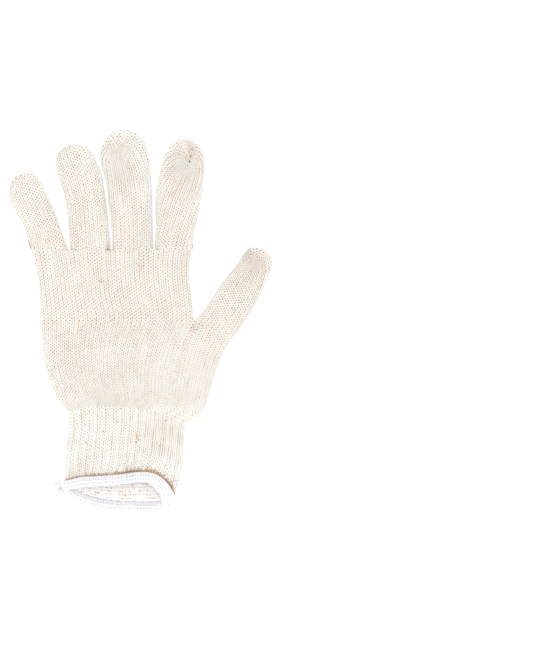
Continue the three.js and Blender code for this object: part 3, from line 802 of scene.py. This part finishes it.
def build_mesh(name, points, blocks, sheet, smooth_blocks=1, lowest=LOWEST):
    """A mesh from points in mm, none of them lower than lowest. Each block is an array of faces with equally
    many corners, and the first ones are shaded smooth. sheet gives each corner's place on the flat cloth."""
    points = points.reshape(-1, 3) * MM
    points[:, 2] = np.maximum(points[:, 2], lowest)
    corners = np.concatenate([block.reshape(-1) for block in blocks])
    sizes = np.concatenate([np.full(len(block), block.shape[1]) for block in blocks])
    smooth = np.arange(len(sizes)) < sum(len(block) for block in blocks[:smooth_blocks])
    mesh = bpy.data.meshes.new(name)
    mesh.vertices.add(len(points))
    mesh.vertices.foreach_set("co", points.astype(np.float32).reshape(-1))
    mesh.loops.add(len(corners))
    mesh.loops.foreach_set("vertex_index", corners.astype(np.int32))
    mesh.polygons.add(len(sizes))
    mesh.polygons.foreach_set("loop_start", (np.cumsum(sizes) - sizes).astype(np.int32))
    mesh.polygons.foreach_set("use_smooth", smooth)
    mesh.uv_layers.new(name="OFBake").data.foreach_set("uv", sheet.astype(np.float32).reshape(-1))
    mesh.update()
    mesh.validate()
    return mesh


def paint_fibre_and_shade(mesh, colours):
    """Keep a tint for every point, which the string's finish multiplies with: the cotton's own colour, and
    painted shade.
    """
    four = np.column_stack([colours, np.ones(len(colours))]).astype(np.float32)
    mesh.attributes.new("fibre", "FLOAT_COLOR", "POINT").data.foreach_set("color", four.reshape(-1))


def add_piece(name, mesh, material, *nodes):
    mesh.materials.append(material)
    piece = bpy.data.objects.new(name, mesh)
    scene.collection.objects.link(piece)
    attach(piece, "root")
    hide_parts(*nodes)
    print(name, sum(len(p.vertices) - 2 for p in mesh.polygons), "triangles")


# %% [markdown]
# A string is laid as a tube with four sides, which smooth shading rounds off. The sides that face into the
# cloth are darkened with the deep shade tint, a painted shade, because light between the loops has already
# bounced off cotton.

# %% Tubes of string
CLOSING_STEP = 0.7  # mm of string from a closed course's last point to its first
SEAM_MARGIN, STRIP = 0.04, 0.92  # each string's strip on the unwrapped cloth, as shares of its row
# painted shade, strongest on the string's back
SHADE_FROM, SHADE_SLOPE = 0.2, 0.8  # how the deep tint grows from the string's flank to its back


def lay_string(name, path, facing, wide, deep, tint, material, *nodes, closed=False, deep_shade_tint=DEEP_SHADE_TINT):
    """A piece made of strings. path is (strings, points, 3) in mm, wide and deep half the width and depth.
    Everything else may be one value for all points."""
    strings, count, _ = path.shape
    wide, deep = (np.broadcast_to(half, (strings, count)) for half in (wide, deep))
    tangent = unit(np.roll(path, -1, 1) - np.roll(path, 1, 1) if closed else np.gradient(path, axis=1))
    up = unit(facing - tangent * np.sum(facing * tangent, axis=2)[:, :, None])
    side = np.cross(tangent, up)
    turns = 2 * math.pi * np.arange(SIDES) / SIDES
    rim = (path[:, :, None] + up[:, :, None] * (deep[..., None] * np.cos(turns))[..., None]
           + side[:, :, None] * (wide[..., None] * np.sin(turns))[..., None])
    each = np.arange(strings)[:, None, None]
    quads, corners = grid_faces(count, SIDES, joined=closed)
    blocks = [(quads + each * count * SIDES).reshape(-1, 4)]
    reached = np.cumsum(np.linalg.norm(np.diff(path, axis=1), axis=2), axis=1)
    reached = np.column_stack([np.zeros(strings), reached, reached[:, -1] + CLOSING_STEP])
    runs = reached[:, corners[..., 0]]
    place = np.stack([runs, np.broadcast_to(corners[..., 1] / SIDES, runs.shape)], -1).reshape(-1, 2)
    row = np.broadcast_to(each, runs.shape).reshape(-1)
    if not closed:
        first = np.arange(strings)[:, None] * count * SIDES + np.arange(SIDES)
        caps = np.stack([first[:, ::-1], first + (count - 1) * SIDES], 1).reshape(-1, SIDES)
        blocks.append(caps)
        round_cap = np.tile(turns, len(caps)) / turns[1] / SIDES
        place = np.vstack([place, np.column_stack([np.zeros(caps.size), round_cap])])
        row = np.concatenate([row, np.repeat(np.arange(strings), 2 * SIDES)])
    strip = (row + SEAM_MARGIN + STRIP * place[:, 1]) / strings
    sheet = np.column_stack([place[:, 0] / place[:, 0].max(), strip])
    mesh = build_mesh(name, rim, blocks, sheet, lowest=LOWEST_STRING)
    place = np.column_stack([place, np.zeros(len(place))]).astype(np.float32)
    mesh.attributes.new("place", "FLOAT_VECTOR", "CORNER").data.foreach_set("vector", place.reshape(-1))
    # painted shade: the side of the string that faces into the cloth is darkened towards the deep tint
    shade = np.clip(SHADE_FROM - SHADE_SLOPE * np.cos(turns), 0, 1)[:, None]
    shade = shade * (1 - np.reshape(deep_shade_tint, (-1, 1, 1, 3)))
    tint = tint[..., None, :] if np.ndim(tint) == 3 else np.asarray(tint)[..., None, None]
    colours = tint * (1 - shade) * np.ones((strings, count, SIDES, 3))
    paint_fibre_and_shade(mesh, np.clip(colours.reshape(-1, 3), 0, 1))
    add_piece(name, mesh, material, *nodes)


# %% [markdown]
# No two stitches are alike. Loops differ a little in size and lean, wales and strings have their own
# habits, and at a few places of the upper face the stitches stand open.

# %% Knit a tube
SLACK_REACH = 1.7  # mm
# pixel of the picture, by how much the string looks thinner round it, and where that reaches further, how far
SLACK = [
    (191, 327, 0.25), (191, 331, 0.25), (106.5, 249, 0.15), (116.5, 248.5, 0.25), (129, 250, 0.2),
    (101.5, 281.5, 0.35), (105.5, 281.5, 0.35), (75, 261, 0.3), (148, 296, 0.25), (134, 344, 0.25),
    (141, 340, 0.25), (147, 333, 0.3), (174, 332, 0.08, 8),
]


def slack(tube, rows):
    """How much thinner the string of each stitch is, near the open places of the upper face."""
    place, facing = tube.at(*np.broadcast_arrays(np.arange(tube.wales)[None], rows[:, None] + 0.5))
    thinner = np.zeros(place.shape[:2])
    for px, py, share, *reach in SLACK:
        away = np.linalg.norm(place[..., :2] - from_pixel(px, py)[:2], axis=2)
        thinner += share * np.exp(-(away / (reach[0] if reach else SLACK_REACH)) ** 2) * (facing[..., 2] > 0)
    return thinner


DRAWN_DOWN = 0.14  # how far a tube's first course is drawn down over the tube below it, in courses
HEAD_SINKS = 0.05  # mm that the heads of a tube's last course sink under the next tube's loops
GATHER_THINS = 0.8  # the string looks thinner where several wales are gathered
SEAM_Y, SEAM_REACH = PALM_END_Y + SHIFT[1], 7.0
THIN_COURSES = 4  # over which a thin start grows to full thickness
LOOP_SPREAD, SWAY_SPREAD, HABIT_SPREAD, GAPE_SPREAD = 0.06, 0.04, 0.08, 0.1  # from loop to loop
THICK_HABIT, THICK_SPREAD = 0.05, 0.04
SLUB_POINTS, SLUB_SPREAD = 40, 0.012


def seam_wander(x):
    """How far the line where the fingers start strays from straight, in mm."""
    return 0.9 * np.sin(x / 5.3 + 1.0) + 0.6 * np.sin(x / 2.6 + 0.4)


def gradient(ends, count):
    """One value, or a first and a last one in a list, spread over a number of courses."""
    first, last = np.array(ends if isinstance(ends, list) else [ends, ends], float)
    share = np.linspace(0, 1, count)[:, None]
    return first * (1 - share) + last * share


def knit(name, node, relief=None, wide=0.525, spread=None, first=0, last=None, deep_shade_tint=DEEP_SHADE_TINT,
         ragged=0.0, under=False, thin_start=0.0, tone=1.0):
    """The loops of one tube, from one course to another. relief lifts the cloth and spread moves its wales.
    under sinks the heads of the last course, where another tube's loops are drawn through them."""
    tube = TUBES[node]
    last = tube.courses if last is None else last
    rows = np.arange(first, last)
    count = tube.wales * SEGMENTS
    t = 2 * math.pi * np.arange(count) / SEGMENTS
    wale = tube.size(np.arange(tube.wales)[None], rows[:, None] + 0.5)[0]
    narrow = np.log(np.clip(wale.mean(axis=1) / WALE / GATHER_BELOW, 1e-6, 1)) / math.log(GATHER_BELOW)
    loops = np.maximum(3, np.round(tube.wales * GATHER_BELOW ** np.ceil(narrow)))[:, None]
    shares = tube.wales / loops
    steps = t / shares
    each = (len(rows), tube.wales)
    loose = 1 + random.normal(0, LOOP_SPREAD, each).repeat(SEGMENTS, axis=1)
    sway = random.normal(0, SWAY_SPREAD, each).repeat(SEGMENTS, axis=1) * np.sin(steps / 2) ** 2
    gape = GAPE + wale_habit(len(rows), tube.wales, HABIT_SPREAD) + random.normal(0, GAPE_SPREAD, each)
    gape = gape.repeat(SEGMENTS, axis=1)
    u = shares * ((steps + SWING * loose * np.sin(2 * steps) + gape * np.sin(steps)) / (2 * math.pi) + sway)
    v = rows[:, None] + 0.5 + REACH * loose * np.cos(steps)
    v[0] += (ragged * random.normal(0, 1, tube.wales)).repeat(SEGMENTS) - (DRAWN_DOWN if ragged else 0)
    heads = np.maximum(0, np.cos(steps[-1])) if under else 0
    if spread is not None:
        u = spread(u, v)
    path, facing = tube.at(u, v)
    wale, course, square = tube.size(u, np.broadcast_to(rows[:, None] + 0.5, u.shape))
    wale = wale * shares * square
    thick = 1 + wale_habit(len(rows), tube.wales, THICK_HABIT) + random.normal(0, THICK_SPREAD, each)
    thick -= slack(tube, rows)
    thick *= np.where(shares > 1, GATHER_THINS, 1)
    if thin_start:
        thick *= 1 - thin_start * np.exp(-(rows[:, None] / THIN_COURSES) ** 2)
    thick = thick.repeat(SEGMENTS, axis=1)
    snug = np.clip(wale / WALE, 0.25, 1.15) * np.clip(course / COURSE, 0.8, 1.25) ** 0.8 * thick
    lift = -DIP * np.cos(2 * steps) * np.clip(wale / WALE, 0.4, 1)
    if relief is not None:
        lift = lift + relief(u, v)
    lift[-1] -= HEAD_SINKS * heads
    path = path + facing * lift[..., None]
    path[..., 1] += seam_wander(path[..., 0]) * np.exp(-((path[..., 1] - SEAM_Y) / SEAM_REACH) ** 2)
    slub = np.array([wander(count, SLUB_POINTS, SLUB_SPREAD) for _ in rows])
    wide, deep_shade_tint = gradient(wide, len(rows)), gradient(deep_shade_tint, len(rows))[:, None]
    lay_string(name, path, facing, wide * snug, STRING_HALF_DEPTH * np.clip(snug, 0.4, 1.1), tone + slub,
               COTTON, node, closed=True, deep_shade_tint=deep_shade_tint)


# %% [markdown]
# The depth behind the loops is a thin closed wall: the same grid, pushed in twice and joined at its ends.

# %% The thin wall between the loops
GROUND_OUT, GROUND_IN = 0.22, 0.42  # mm from the string's middle to the wall's two faces
TURNED = [1, 0, 3, 2]  # a quad's corners, walked the other way round


def ground(node, closed_tip=False, relief=None, out=GROUND_OUT, back=GROUND_IN, materials=(GROUND,)):
    """The wall behind one tube's loops. Where there are two materials, the second is for its inner face."""
    name, tube = node + "_depth", TUBES[node]
    wide, count = tube.wales * 2, tube.courses + 1
    u, v = np.meshgrid(np.arange(wide) / 2, np.linspace(0, tube.courses, count))
    path, facing = tube.at(u, v)
    if relief is not None:
        path = path + facing * relief(u, v)[..., None]
    inner = wide * count
    quads, corners = grid_faces(count, wide)
    half_sheet = corners[..., ::-1] / (wide, 2 * count)
    walls = np.stack([quads, quads[:, TURNED] + inner], 1).reshape(-1, 4)
    sheets = [np.stack([half_sheet, half_sheet[:, TURNED] + (0, 0.5)], 1).reshape(-1, 2)]
    ring = np.arange(wide)
    beside = (ring + 1) % wide
    rim = np.stack([ring, inner + ring, inner + beside, beside], 1)
    rim_sheet = np.stack([ring, ring, ring + 1, ring + 1], 1)[..., None] / (wide, 1)
    rim_sheet[..., 1] = (0.999, 1.0, 1.0, 0.999)
    last = (count - 1) * wide
    blocks = [walls, rim]
    sheets.append(rim_sheet.reshape(-1, 2))
    if closed_tip:
        blocks.append(np.stack([last + ring, inner + last + ring[::-1]]))
        sheets.append(np.full((2 * wide, 2), 0.5))
    else:
        blocks.append((rim + last)[:, ::-1])
        sheets.append(rim_sheet.reshape(-1, 2))
    faces = np.stack([path - facing * out, path - facing * back])
    mesh = build_mesh(name, faces, blocks, np.vstack(sheets), smooth_blocks=3)
    add_piece(name, mesh, materials[0], node)
    for material in materials[1:]:
        mesh.materials.append(material)
        sides = np.zeros(len(mesh.polygons), np.int32)
        sides[1:len(walls):2] = 1
        mesh.polygons.foreach_set("material_index", sides)


# %% Knit the fingers and the palm
WIDER_RIGHT = 0.067  # wales stand closer on the palm's left side, and wider on its right
SPREAD_COURSES = 9  # over which that begins


def palm_spread(u, v):
    begun = smooth(np.clip(v / SPREAD_COURSES, 0, 1))
    turn = 2 * math.pi * u / PALM_WALES
    return u - WIDER_RIGHT * PALM_WALES / (2 * math.pi) * np.sin(turn) * begun


# half the string's width at each tube's first course and at its tip: the tips are knitted closer
FINGER_STRING = {"little_finger": [0.53, 0.59], "ring_finger": [0.52, 0.565], "middle_finger": [0.515, 0.59],
                 "index_finger": [0.52, 0.55], "thumb": [0.53, 0.55]}
for name, string in FINGER_STRING.items():
    knit(name + "_loops", name, wide=string, ragged=0.0 if name == "thumb" else 0.1)
    ground(name, closed_tip=True)
knit("four_finger_body_loops", "four_finger_body", spread=palm_spread, under=True)
ground("four_finger_body")

# %% [markdown]
# The wrist's ribs don't stop at the cuff: they run on into the palm and fade out over about two
# centimetres.

# %% Knit the body above the wrist
RIBS = 30
DRAWN = 0.17  # how much the elastic draws the wales of a rib together, and spreads those between two ribs
RIB_RISE = 0.12  # mm
FADE_COURSES = 7  # over which the ribs fade into the palm
body = TUBES["five_finger_body"]


def wrist_turn(u):
    return 2 * math.pi * RIBS * u / body.wales


def wrist_fade(v):
    return np.exp(-(np.maximum(0, v) / FADE_COURSES) ** 2)


def wrist_relief(u, v):
    return -RIB_RISE * wrist_fade(v) * np.cos(wrist_turn(u))


def wrist_spread(u, v):
    return u + DRAWN * wrist_fade(v) * np.sin(wrist_turn(u)) * body.wales / (2 * math.pi * RIBS)


# painted shade on the strings' inner sides: paler near the wrist, stronger towards the fingers
LOW_SHADE_TINT = (1.0, 0.995, 0.98)
MIDDLE_SHADE_TINT = (1.0, 0.96, 0.89)
half_way = body.courses // 2
knit("five_finger_body_loops_lower", "five_finger_body", wrist_relief, wide=[0.57, 0.55], spread=wrist_spread,
     last=half_way, deep_shade_tint=[LOW_SHADE_TINT, MIDDLE_SHADE_TINT], thin_start=0.05)
knit("five_finger_body_loops_upper", "five_finger_body", wrist_relief, wide=[0.55, 0.525], first=half_way,
     deep_shade_tint=[MIDDLE_SHADE_TINT, DEEP_SHADE_TINT], under=True)
ground("five_finger_body", relief=wrist_relief, materials=(LOW_GROUND,))

# %% [markdown]
# Each rib is two wales, which the elastic draws together into a light band. The wales spread again from one
# rib to the next, and there the gaps between the loops show as two rows of dots.

# %% Knit the ribbed cuff
WALES_PER_RIB = TUBES["cuff"].wales / RIBS


def rib_turn(u):
    return 2 * math.pi * u / WALES_PER_RIB - math.pi / 4


def cuff_relief(u, v):
    return -RIB_RISE * np.cos(rib_turn(u))


def cuff_spread(u, v):
    return u + DRAWN * np.sin(rib_turn(u)) * WALES_PER_RIB / (2 * math.pi)


# painted shade on the cuff strings' inner sides, very faint
CUFF_SHADE_TINT = (0.99, 0.99, 0.99)
knit("cuff_loops", "cuff", cuff_relief, wide=0.585, spread=cuff_spread, deep_shade_tint=CUFF_SHADE_TINT, tone=0.952)
ground("cuff", relief=cuff_relief, out=0.0, back=0.45, materials=(CUFF_GROUND, CUFF_LINING))

# %% [markdown]
# ## Overlocked hem
# An overlock machine trims the cuff's edge and wraps it in white thread. The band is a padded core. Thread
# goes over its face, round the free edge and back underneath, once for every stitch, and a smooth cord runs
# along its middle.

# %% The band's place along the mouth
HEM_STITCHES = 150
LEAN_UP = 0.18  # how much the upper layer's band points up from the table
# way round the mouth (0 left corner, 1 right corner over the top, 2 left corner again underneath), the way
# that the band points there in degrees, its width
BAND = np.array([
    (0.0, -90, 1.0), (0.74, -90, 1.0), (0.83, -100, 1.22), (0.9, -115, 1.36), (0.95, -132, 1.28),
    (0.985, -149, 1.38), (1.0, -152, 1.46), (1.02, -138, 1.2), (1.05, -110, 1.0), (1.09, -92, 0.88),
    (2.0, -90, 0.88),
])
cuff = TUBES["cuff"]


def mouth_frame(stitch):
    """Middle of the wall, the way out of the mouth and the way out of the cloth, round the mouth."""
    u = np.asarray(stitch) * cuff.wales / HEM_STITCHES
    path, facing = cuff.at(u, np.zeros_like(u))
    left, right = cuff.points[0, :, 0].min(), cuff.points[0, :, 0].max()
    across = (path[:, 0] - left) / (right - left)
    way = np.where(facing[:, 2] > 0, across, 2 - across)
    points = np.radians(np.interp(way, BAND[:, 0], BAND[:, 1]))
    along = np.column_stack([np.cos(points), np.sin(points), LEAN_UP * np.maximum(0, facing[:, 2])])
    along = unit(along)
    out = unit(facing - along * np.sum(facing * along, axis=1)[:, None])
    return path, along * np.interp(way, BAND[:, 0], BAND[:, 2])[:, None], out


# reach from the last course, height out of the wall's middle
HEM_FACE = [(-0.2, 0.45), (0.4, 0.9), (1.3, 0.8), (2.3, 0.8), (3.1, 0.95), (4.0, 0.8), (5.0, 0.8), (5.8, 0.6),
            (6.1, 0.2)]
section = np.array(HEM_FACE + [(x, -y) for x, y in reversed(HEM_FACE)])
CORE_RINGS = 224
centre, along, out = mouth_frame(np.arange(CORE_RINGS) * HEM_STITCHES / CORE_RINGS)
points = centre[:, None] + along[:, None] * section[None, :, :1] + out[:, None] * section[None, :, 1:]
quads, corners = grid_faces(CORE_RINGS, len(section), joined=True)
outward = [0, 3, 2, 1]
sheet = corners[:, outward] / (CORE_RINGS, len(section))
mesh = build_mesh("hem_core", points, [quads[:, outward]], sheet)
paint_fibre_and_shade(mesh, np.ones((points.size // 3, 3)))
add_piece("hem_core", mesh, WHITE, "overlock_hem")

# %% Thread wrapped over the band
OVER = 0.16  # mm from the core's face to the middle of the thread
over = [(x, y + OVER) for x, y in HEM_FACE]
wrap = [(-0.55, 0.3)] + over + [(6.3, 0.0)] + [(x, -y) for x, y in reversed(over)] + [(-0.55, -0.3)]
stitches = np.arange(HEM_STITCHES)
SLANT = 0.8  # stitches that a wrap moves on from start to end
THREAD_HALF_WIDTH, THREAD_HALF_DEPTH = 0.48, 0.26  # mm
paths, outs = [], []
for k, (reach, high) in enumerate(wrap):
    place = stitches + SLANT * k / (len(wrap) - 1) + random.normal(0, 0.05, HEM_STITCHES)
    centre, along, out = mouth_frame(place % HEM_STITCHES)
    end_wander = random.normal(0, 0.08, (HEM_STITCHES, 1)) if k in (0, len(wrap) - 1) else 0
    paths.append(centre + along * (reach + end_wander) + out * high)
    turned = along * (1 if reach > 6 else 0.3 if reach < 0 else 0) + out * np.sign(high)
    outs.append(unit(turned))
paths, outs = np.stack(paths, axis=1), np.stack(outs, axis=1)
tint = 1 + random.normal(0, 0.012, (HEM_STITCHES, 1))
lay_string("hem_thread", paths, outs, THREAD_HALF_WIDTH, THREAD_HALF_DEPTH, tint, WHITE, "overlock_hem")

# %% Cord along the middle of the band
CORD_POINTS = 450
CORD_REACH = 3.15  # mm from the last course
CORD_OVER, CORD_UNDER = 1.32, -1.05  # mm out of the wall's middle, outside and inside the mouth
CORD_HALF_WIDTH, CORD_HALF_DEPTHS = 0.62, [[0.42], [0.3]]
place = np.arange(CORD_POINTS) * HEM_STITCHES / CORD_POINTS
centre, along, out = mouth_frame(place)
cords = []
for high in (CORD_OVER, CORD_UNDER):
    sway = 0.05 * np.sin(2 * math.pi * place)[:, None]
    cords.append(centre + along * (CORD_REACH + sway) + out * high)
lay_string("hem_cord", np.array(cords), np.array([out, -out]), CORD_HALF_WIDTH, CORD_HALF_DEPTHS, 1.0, WHITE,
           "overlock_hem", closed=True)

# %% [markdown]
# The brown strings above the band, on the upper layer, are painted shade: the dark crease where the band
# stands up from the cuff. They start thin at the left corner and grow thick and dark to the right. Short
# fibres stand up from the band like a short brush.

# %% Painted crease shade above the band
# share of the way across the upper layer, how strong the painted crease shade is there
CREASE_SHADE_WEIGHT = ([0, 0.06, 0.2, 0.45, 0.65, 0.8, 0.93, 1.0], [0.0, 0.02, 0.1, 0.24, 0.3, 0.37, 0.33, 0.06])
CREASE_POINTS = 260
along_top = np.linspace(0.5, HEM_STITCHES / 2 - 0.8, CREASE_POINTS)
weight = 0.5 * np.interp(along_top / (HEM_STITCHES / 2), *CREASE_SHADE_WEIGHT)
centre, along, out = mouth_frame(along_top)
crease_strings, thick = [], []
for back, high in ((0.45, 0.75), (0.95, 0.95), (1.45, 0.85)):
    behind = back * (0.4 + 1.2 * weight[:, None]) + wander(CREASE_POINTS, 7, 0.14)[:, None]
    crease_strings.append(centre - along * behind + out * (high + wander(CREASE_POINTS, 9, 0.08)[:, None]))
    slubs = 1 + np.clip(wander(CREASE_POINTS, 5, 0.3), -0.6, 0.6)
    thick.append(weight * slubs * (0.95 if back < 1 else 0.75))
crease_strings, thick = np.array(crease_strings), np.array(thick)
tint = np.array([1.0 + 0.9 * np.clip(wander(CREASE_POINTS, 3, 0.6), -0.3, 1) for _ in crease_strings])
lay_string("crease_shade_yarn", crease_strings, out, thick, thick * 0.8, tint, CREASE_SHADE_BROWN, "cuff")

CREASE_HAIRS = 520
start = random.uniform(0.5, HEM_STITCHES / 2 - 1, CREASE_HAIRS)
weight = np.interp(start / (HEM_STITCHES / 2), *CREASE_SHADE_WEIGHT)
centre, along, out = mouth_frame(start)
sideways = np.cross(out, along)
length = (0.5 + random.exponential(0.7, CREASE_HAIRS)) * (0.5 + 1.6 * weight)
lean = random.normal(0, 0.45, CREASE_HAIRS)
crease_hairs = []
for share in (0, 0.35, 0.7, 1.0):
    forward = (0.2 + length * share)[:, None]
    lift = (0.9 + 0.35 * share - 0.25 * share ** 2)
    crease_hairs.append(centre - along * forward + sideways * (lean * length * share ** 1.5)[:, None] + out * lift)
crease_hairs = np.stack(crease_hairs, axis=1)
fine = (random.uniform(0.08, 0.18, CREASE_HAIRS) * (0.6 + weight))[:, None] * np.array([1, 0.95, 0.8, 0.4])
tint = random.uniform(0.75, 1.5, (CREASE_HAIRS, 1))
lay_string("crease_shade_fibres", crease_hairs, out[:, None], fine, fine, tint, CREASE_SHADE_BROWN, "cuff")

# %% [markdown]
# The machine's last chain of thread is left as a short, frayed tail at the cuff's corner.

# %% Thread tail
STRAND_RADIUS = 0.34  # mm
STRANDS = 6
TAIL = np.array([(-47.2, -112.0), (-49.8, -110.6), (-52.0, -107.4), (-53.6, -102.4)])
steps = np.linspace(0, 1, 60)
route = np.array([row_at(TAIL, s) for s in steps])
heading = unit(np.gradient(route, axis=0))
side = np.column_stack([-heading[:, 1], heading[:, 0]])
strands = []
for phase in range(STRANDS):
    turn = steps * (26 + 3 * phase) + 1.05 * phase
    swing = (0.5 + 0.9 * steps) * np.sin(turn) + 0.5 * steps * (phase - (STRANDS - 1) / 2)
    height = 1.3 + 0.5 * np.cos(turn)
    strands.append(np.column_stack([route + side * swing[:, None], height]) + SHIFT)
UP = np.array([0, 0, 1])
lay_string("tail_thread", np.array(strands), UP, STRAND_RADIUS, STRAND_RADIUS, 1.0, WHITE, "thread_tail")

# %% [markdown]
# ## Specks of trash, and painted shade dots
# Raw cotton keeps bits of seed and leaf. A few are strong enough to see: they are short fibrous bits lying
# on the loops, in brown, green, ochre and grey. Inside the cuff, orange-brown dots between the rows are
# painted shade, where the gaps between the loops are shaded.

# %% Bits of seed and leaf, and painted shade dots
# pixel, length in mm, half width, direction in degrees, colour
SEEN = [
    (137, 436, 3.2, 0.34, 92, (214, 138, 58)), (137, 442.5, 1.0, 0.5, 90, (206, 118, 44)),
    (160, 445.5, 0.9, 0.45, 0, (96, 158, 62)), (148, 317.5, 1.0, 0.45, 20, (150, 160, 180)),
    (103, 431.5, 0.9, 0.4, 10, (176, 126, 96)), (118, 422, 0.8, 0.4, 30, (196, 136, 104)),
    (85.5, 442, 1.2, 0.35, 90, (200, 140, 70)), (166, 420, 1.4, 0.3, 75, (190, 134, 74)),
    (131, 324, 1.2, 0.4, 30, (205, 212, 196)), (139, 440, 0.7, 0.4, 90, (120, 72, 34)),
    (84, 325, 1.0, 0.35, 0, (240, 205, 130)), (112.5, 321, 1.2, 0.4, 10, (236, 190, 160)),
    (96, 318, 1.2, 0.35, 70, (235, 190, 180)), (121, 409, 0.9, 0.35, 20, (150, 110, 80)),
    (192, 149.5, 1.8, 0.28, 80, (176, 136, 76)),
    (190.8, 156, 1.7, 0.4, 76, (112, 80, 38)), (189.3, 161.5, 1.7, 0.4, 72, (112, 80, 38)),
    (187.8, 165.5, 1.1, 0.35, 60, (198, 152, 82)), (186, 158, 0.7, 0.3, 30, (130, 104, 80)),
]
COLOURS = [(206, 164, 104), (170, 122, 72), (224, 196, 186), (184, 188, 196), (178, 162, 104),
           (222, 170, 120)]
# painted shade: orange-brown dots where the gaps between the loops inside the cuff are shaded
LINING_SHADE_COLOURS = [(206, 150, 84), (190, 122, 60), (160, 112, 66)]
OUTER_BITS, LINING_SHADE_DOTS = 150, 240


def upper_point(px, py):
    """The point of the upper face that lies under a pixel of the picture, and the way out of the cloth."""
    best = None
    target = from_pixel(px, py)[:2]
    for tube in TUBES.values():
        away = np.linalg.norm(tube.points[..., :2] - target, axis=2) + 100 * (tube.facing[..., 2] < 0.2)
        row, column = np.unravel_index(np.argmin(away), away.shape)
        if best is None or away[row, column] < best[0]:
            best = (away[row, column], tube.points[row, column], tube.facing[row, column])
    return best[1], best[2]


bits = []
for px, py, long, half, turn, colour in SEEN:
    bits.append((*upper_point(px, py), long, half, math.radians(turn), colour))
names = list(TUBES)
shares = np.array([TUBES[name].wales * TUBES[name].courses for name in names], float)
while len(bits) < OUTER_BITS:
    tube = TUBES[names[random.choice(len(names), p=shares / shares.sum())]]
    u, v = random.uniform(0, tube.wales / 2), random.uniform(0.5, tube.courses - 0.5)
    point, facing = tube.at(np.array([u]), np.array([v]))
    colour = COLOURS[random.integers(len(COLOURS))]
    if facing[0, 2] > 0.3:
        bits.append((point[0], facing[0], random.uniform(0.4, 1.1), random.uniform(0.1, 0.2),
                     random.uniform(0, math.pi), colour))
# painted shade dots on the cuff's inner face, between its rows
for _ in range(LINING_SHADE_DOTS):
    u, v = random.uniform(cuff.wales / 2 + 1, cuff.wales - 1), random.integers(1, 9) + random.normal(0, 0.08)
    point, facing = cuff.at(np.array([u]), np.array([v]))
    bits.append((point[0] - 0.2 * facing[0], -facing[0], random.uniform(0.4, 0.9), random.uniform(0.16, 0.3),
                 random.uniform(-0.4, 0.4), LINING_SHADE_COLOURS[random.integers(3)]))
paths, ups, wide, tints = [], [], [], []
for point, facing, long, half, turn, colour in bits:
    heading = np.array([math.cos(turn), math.sin(turn), 0])
    heading -= facing * np.dot(heading, facing)
    paths.append([point + facing * (0.72 - 0.12 * (2 * share) ** 2) + heading * long * share
                  for share in (-0.5, -0.3, 0, 0.3, 0.5)])
    ups.append([facing] * 5)
    wide.append(half * np.array([0.45, 0.9, 1, 0.9, 0.45]))
    tints.append([linear(*colour)] * 5)
wide = np.array(wide)
lay_string("cotton_specks_and_shade_dots", np.array(paths), np.array(ups), wide, wide * 0.6, np.array(tints), COTTON,
           *sorted(TUBES))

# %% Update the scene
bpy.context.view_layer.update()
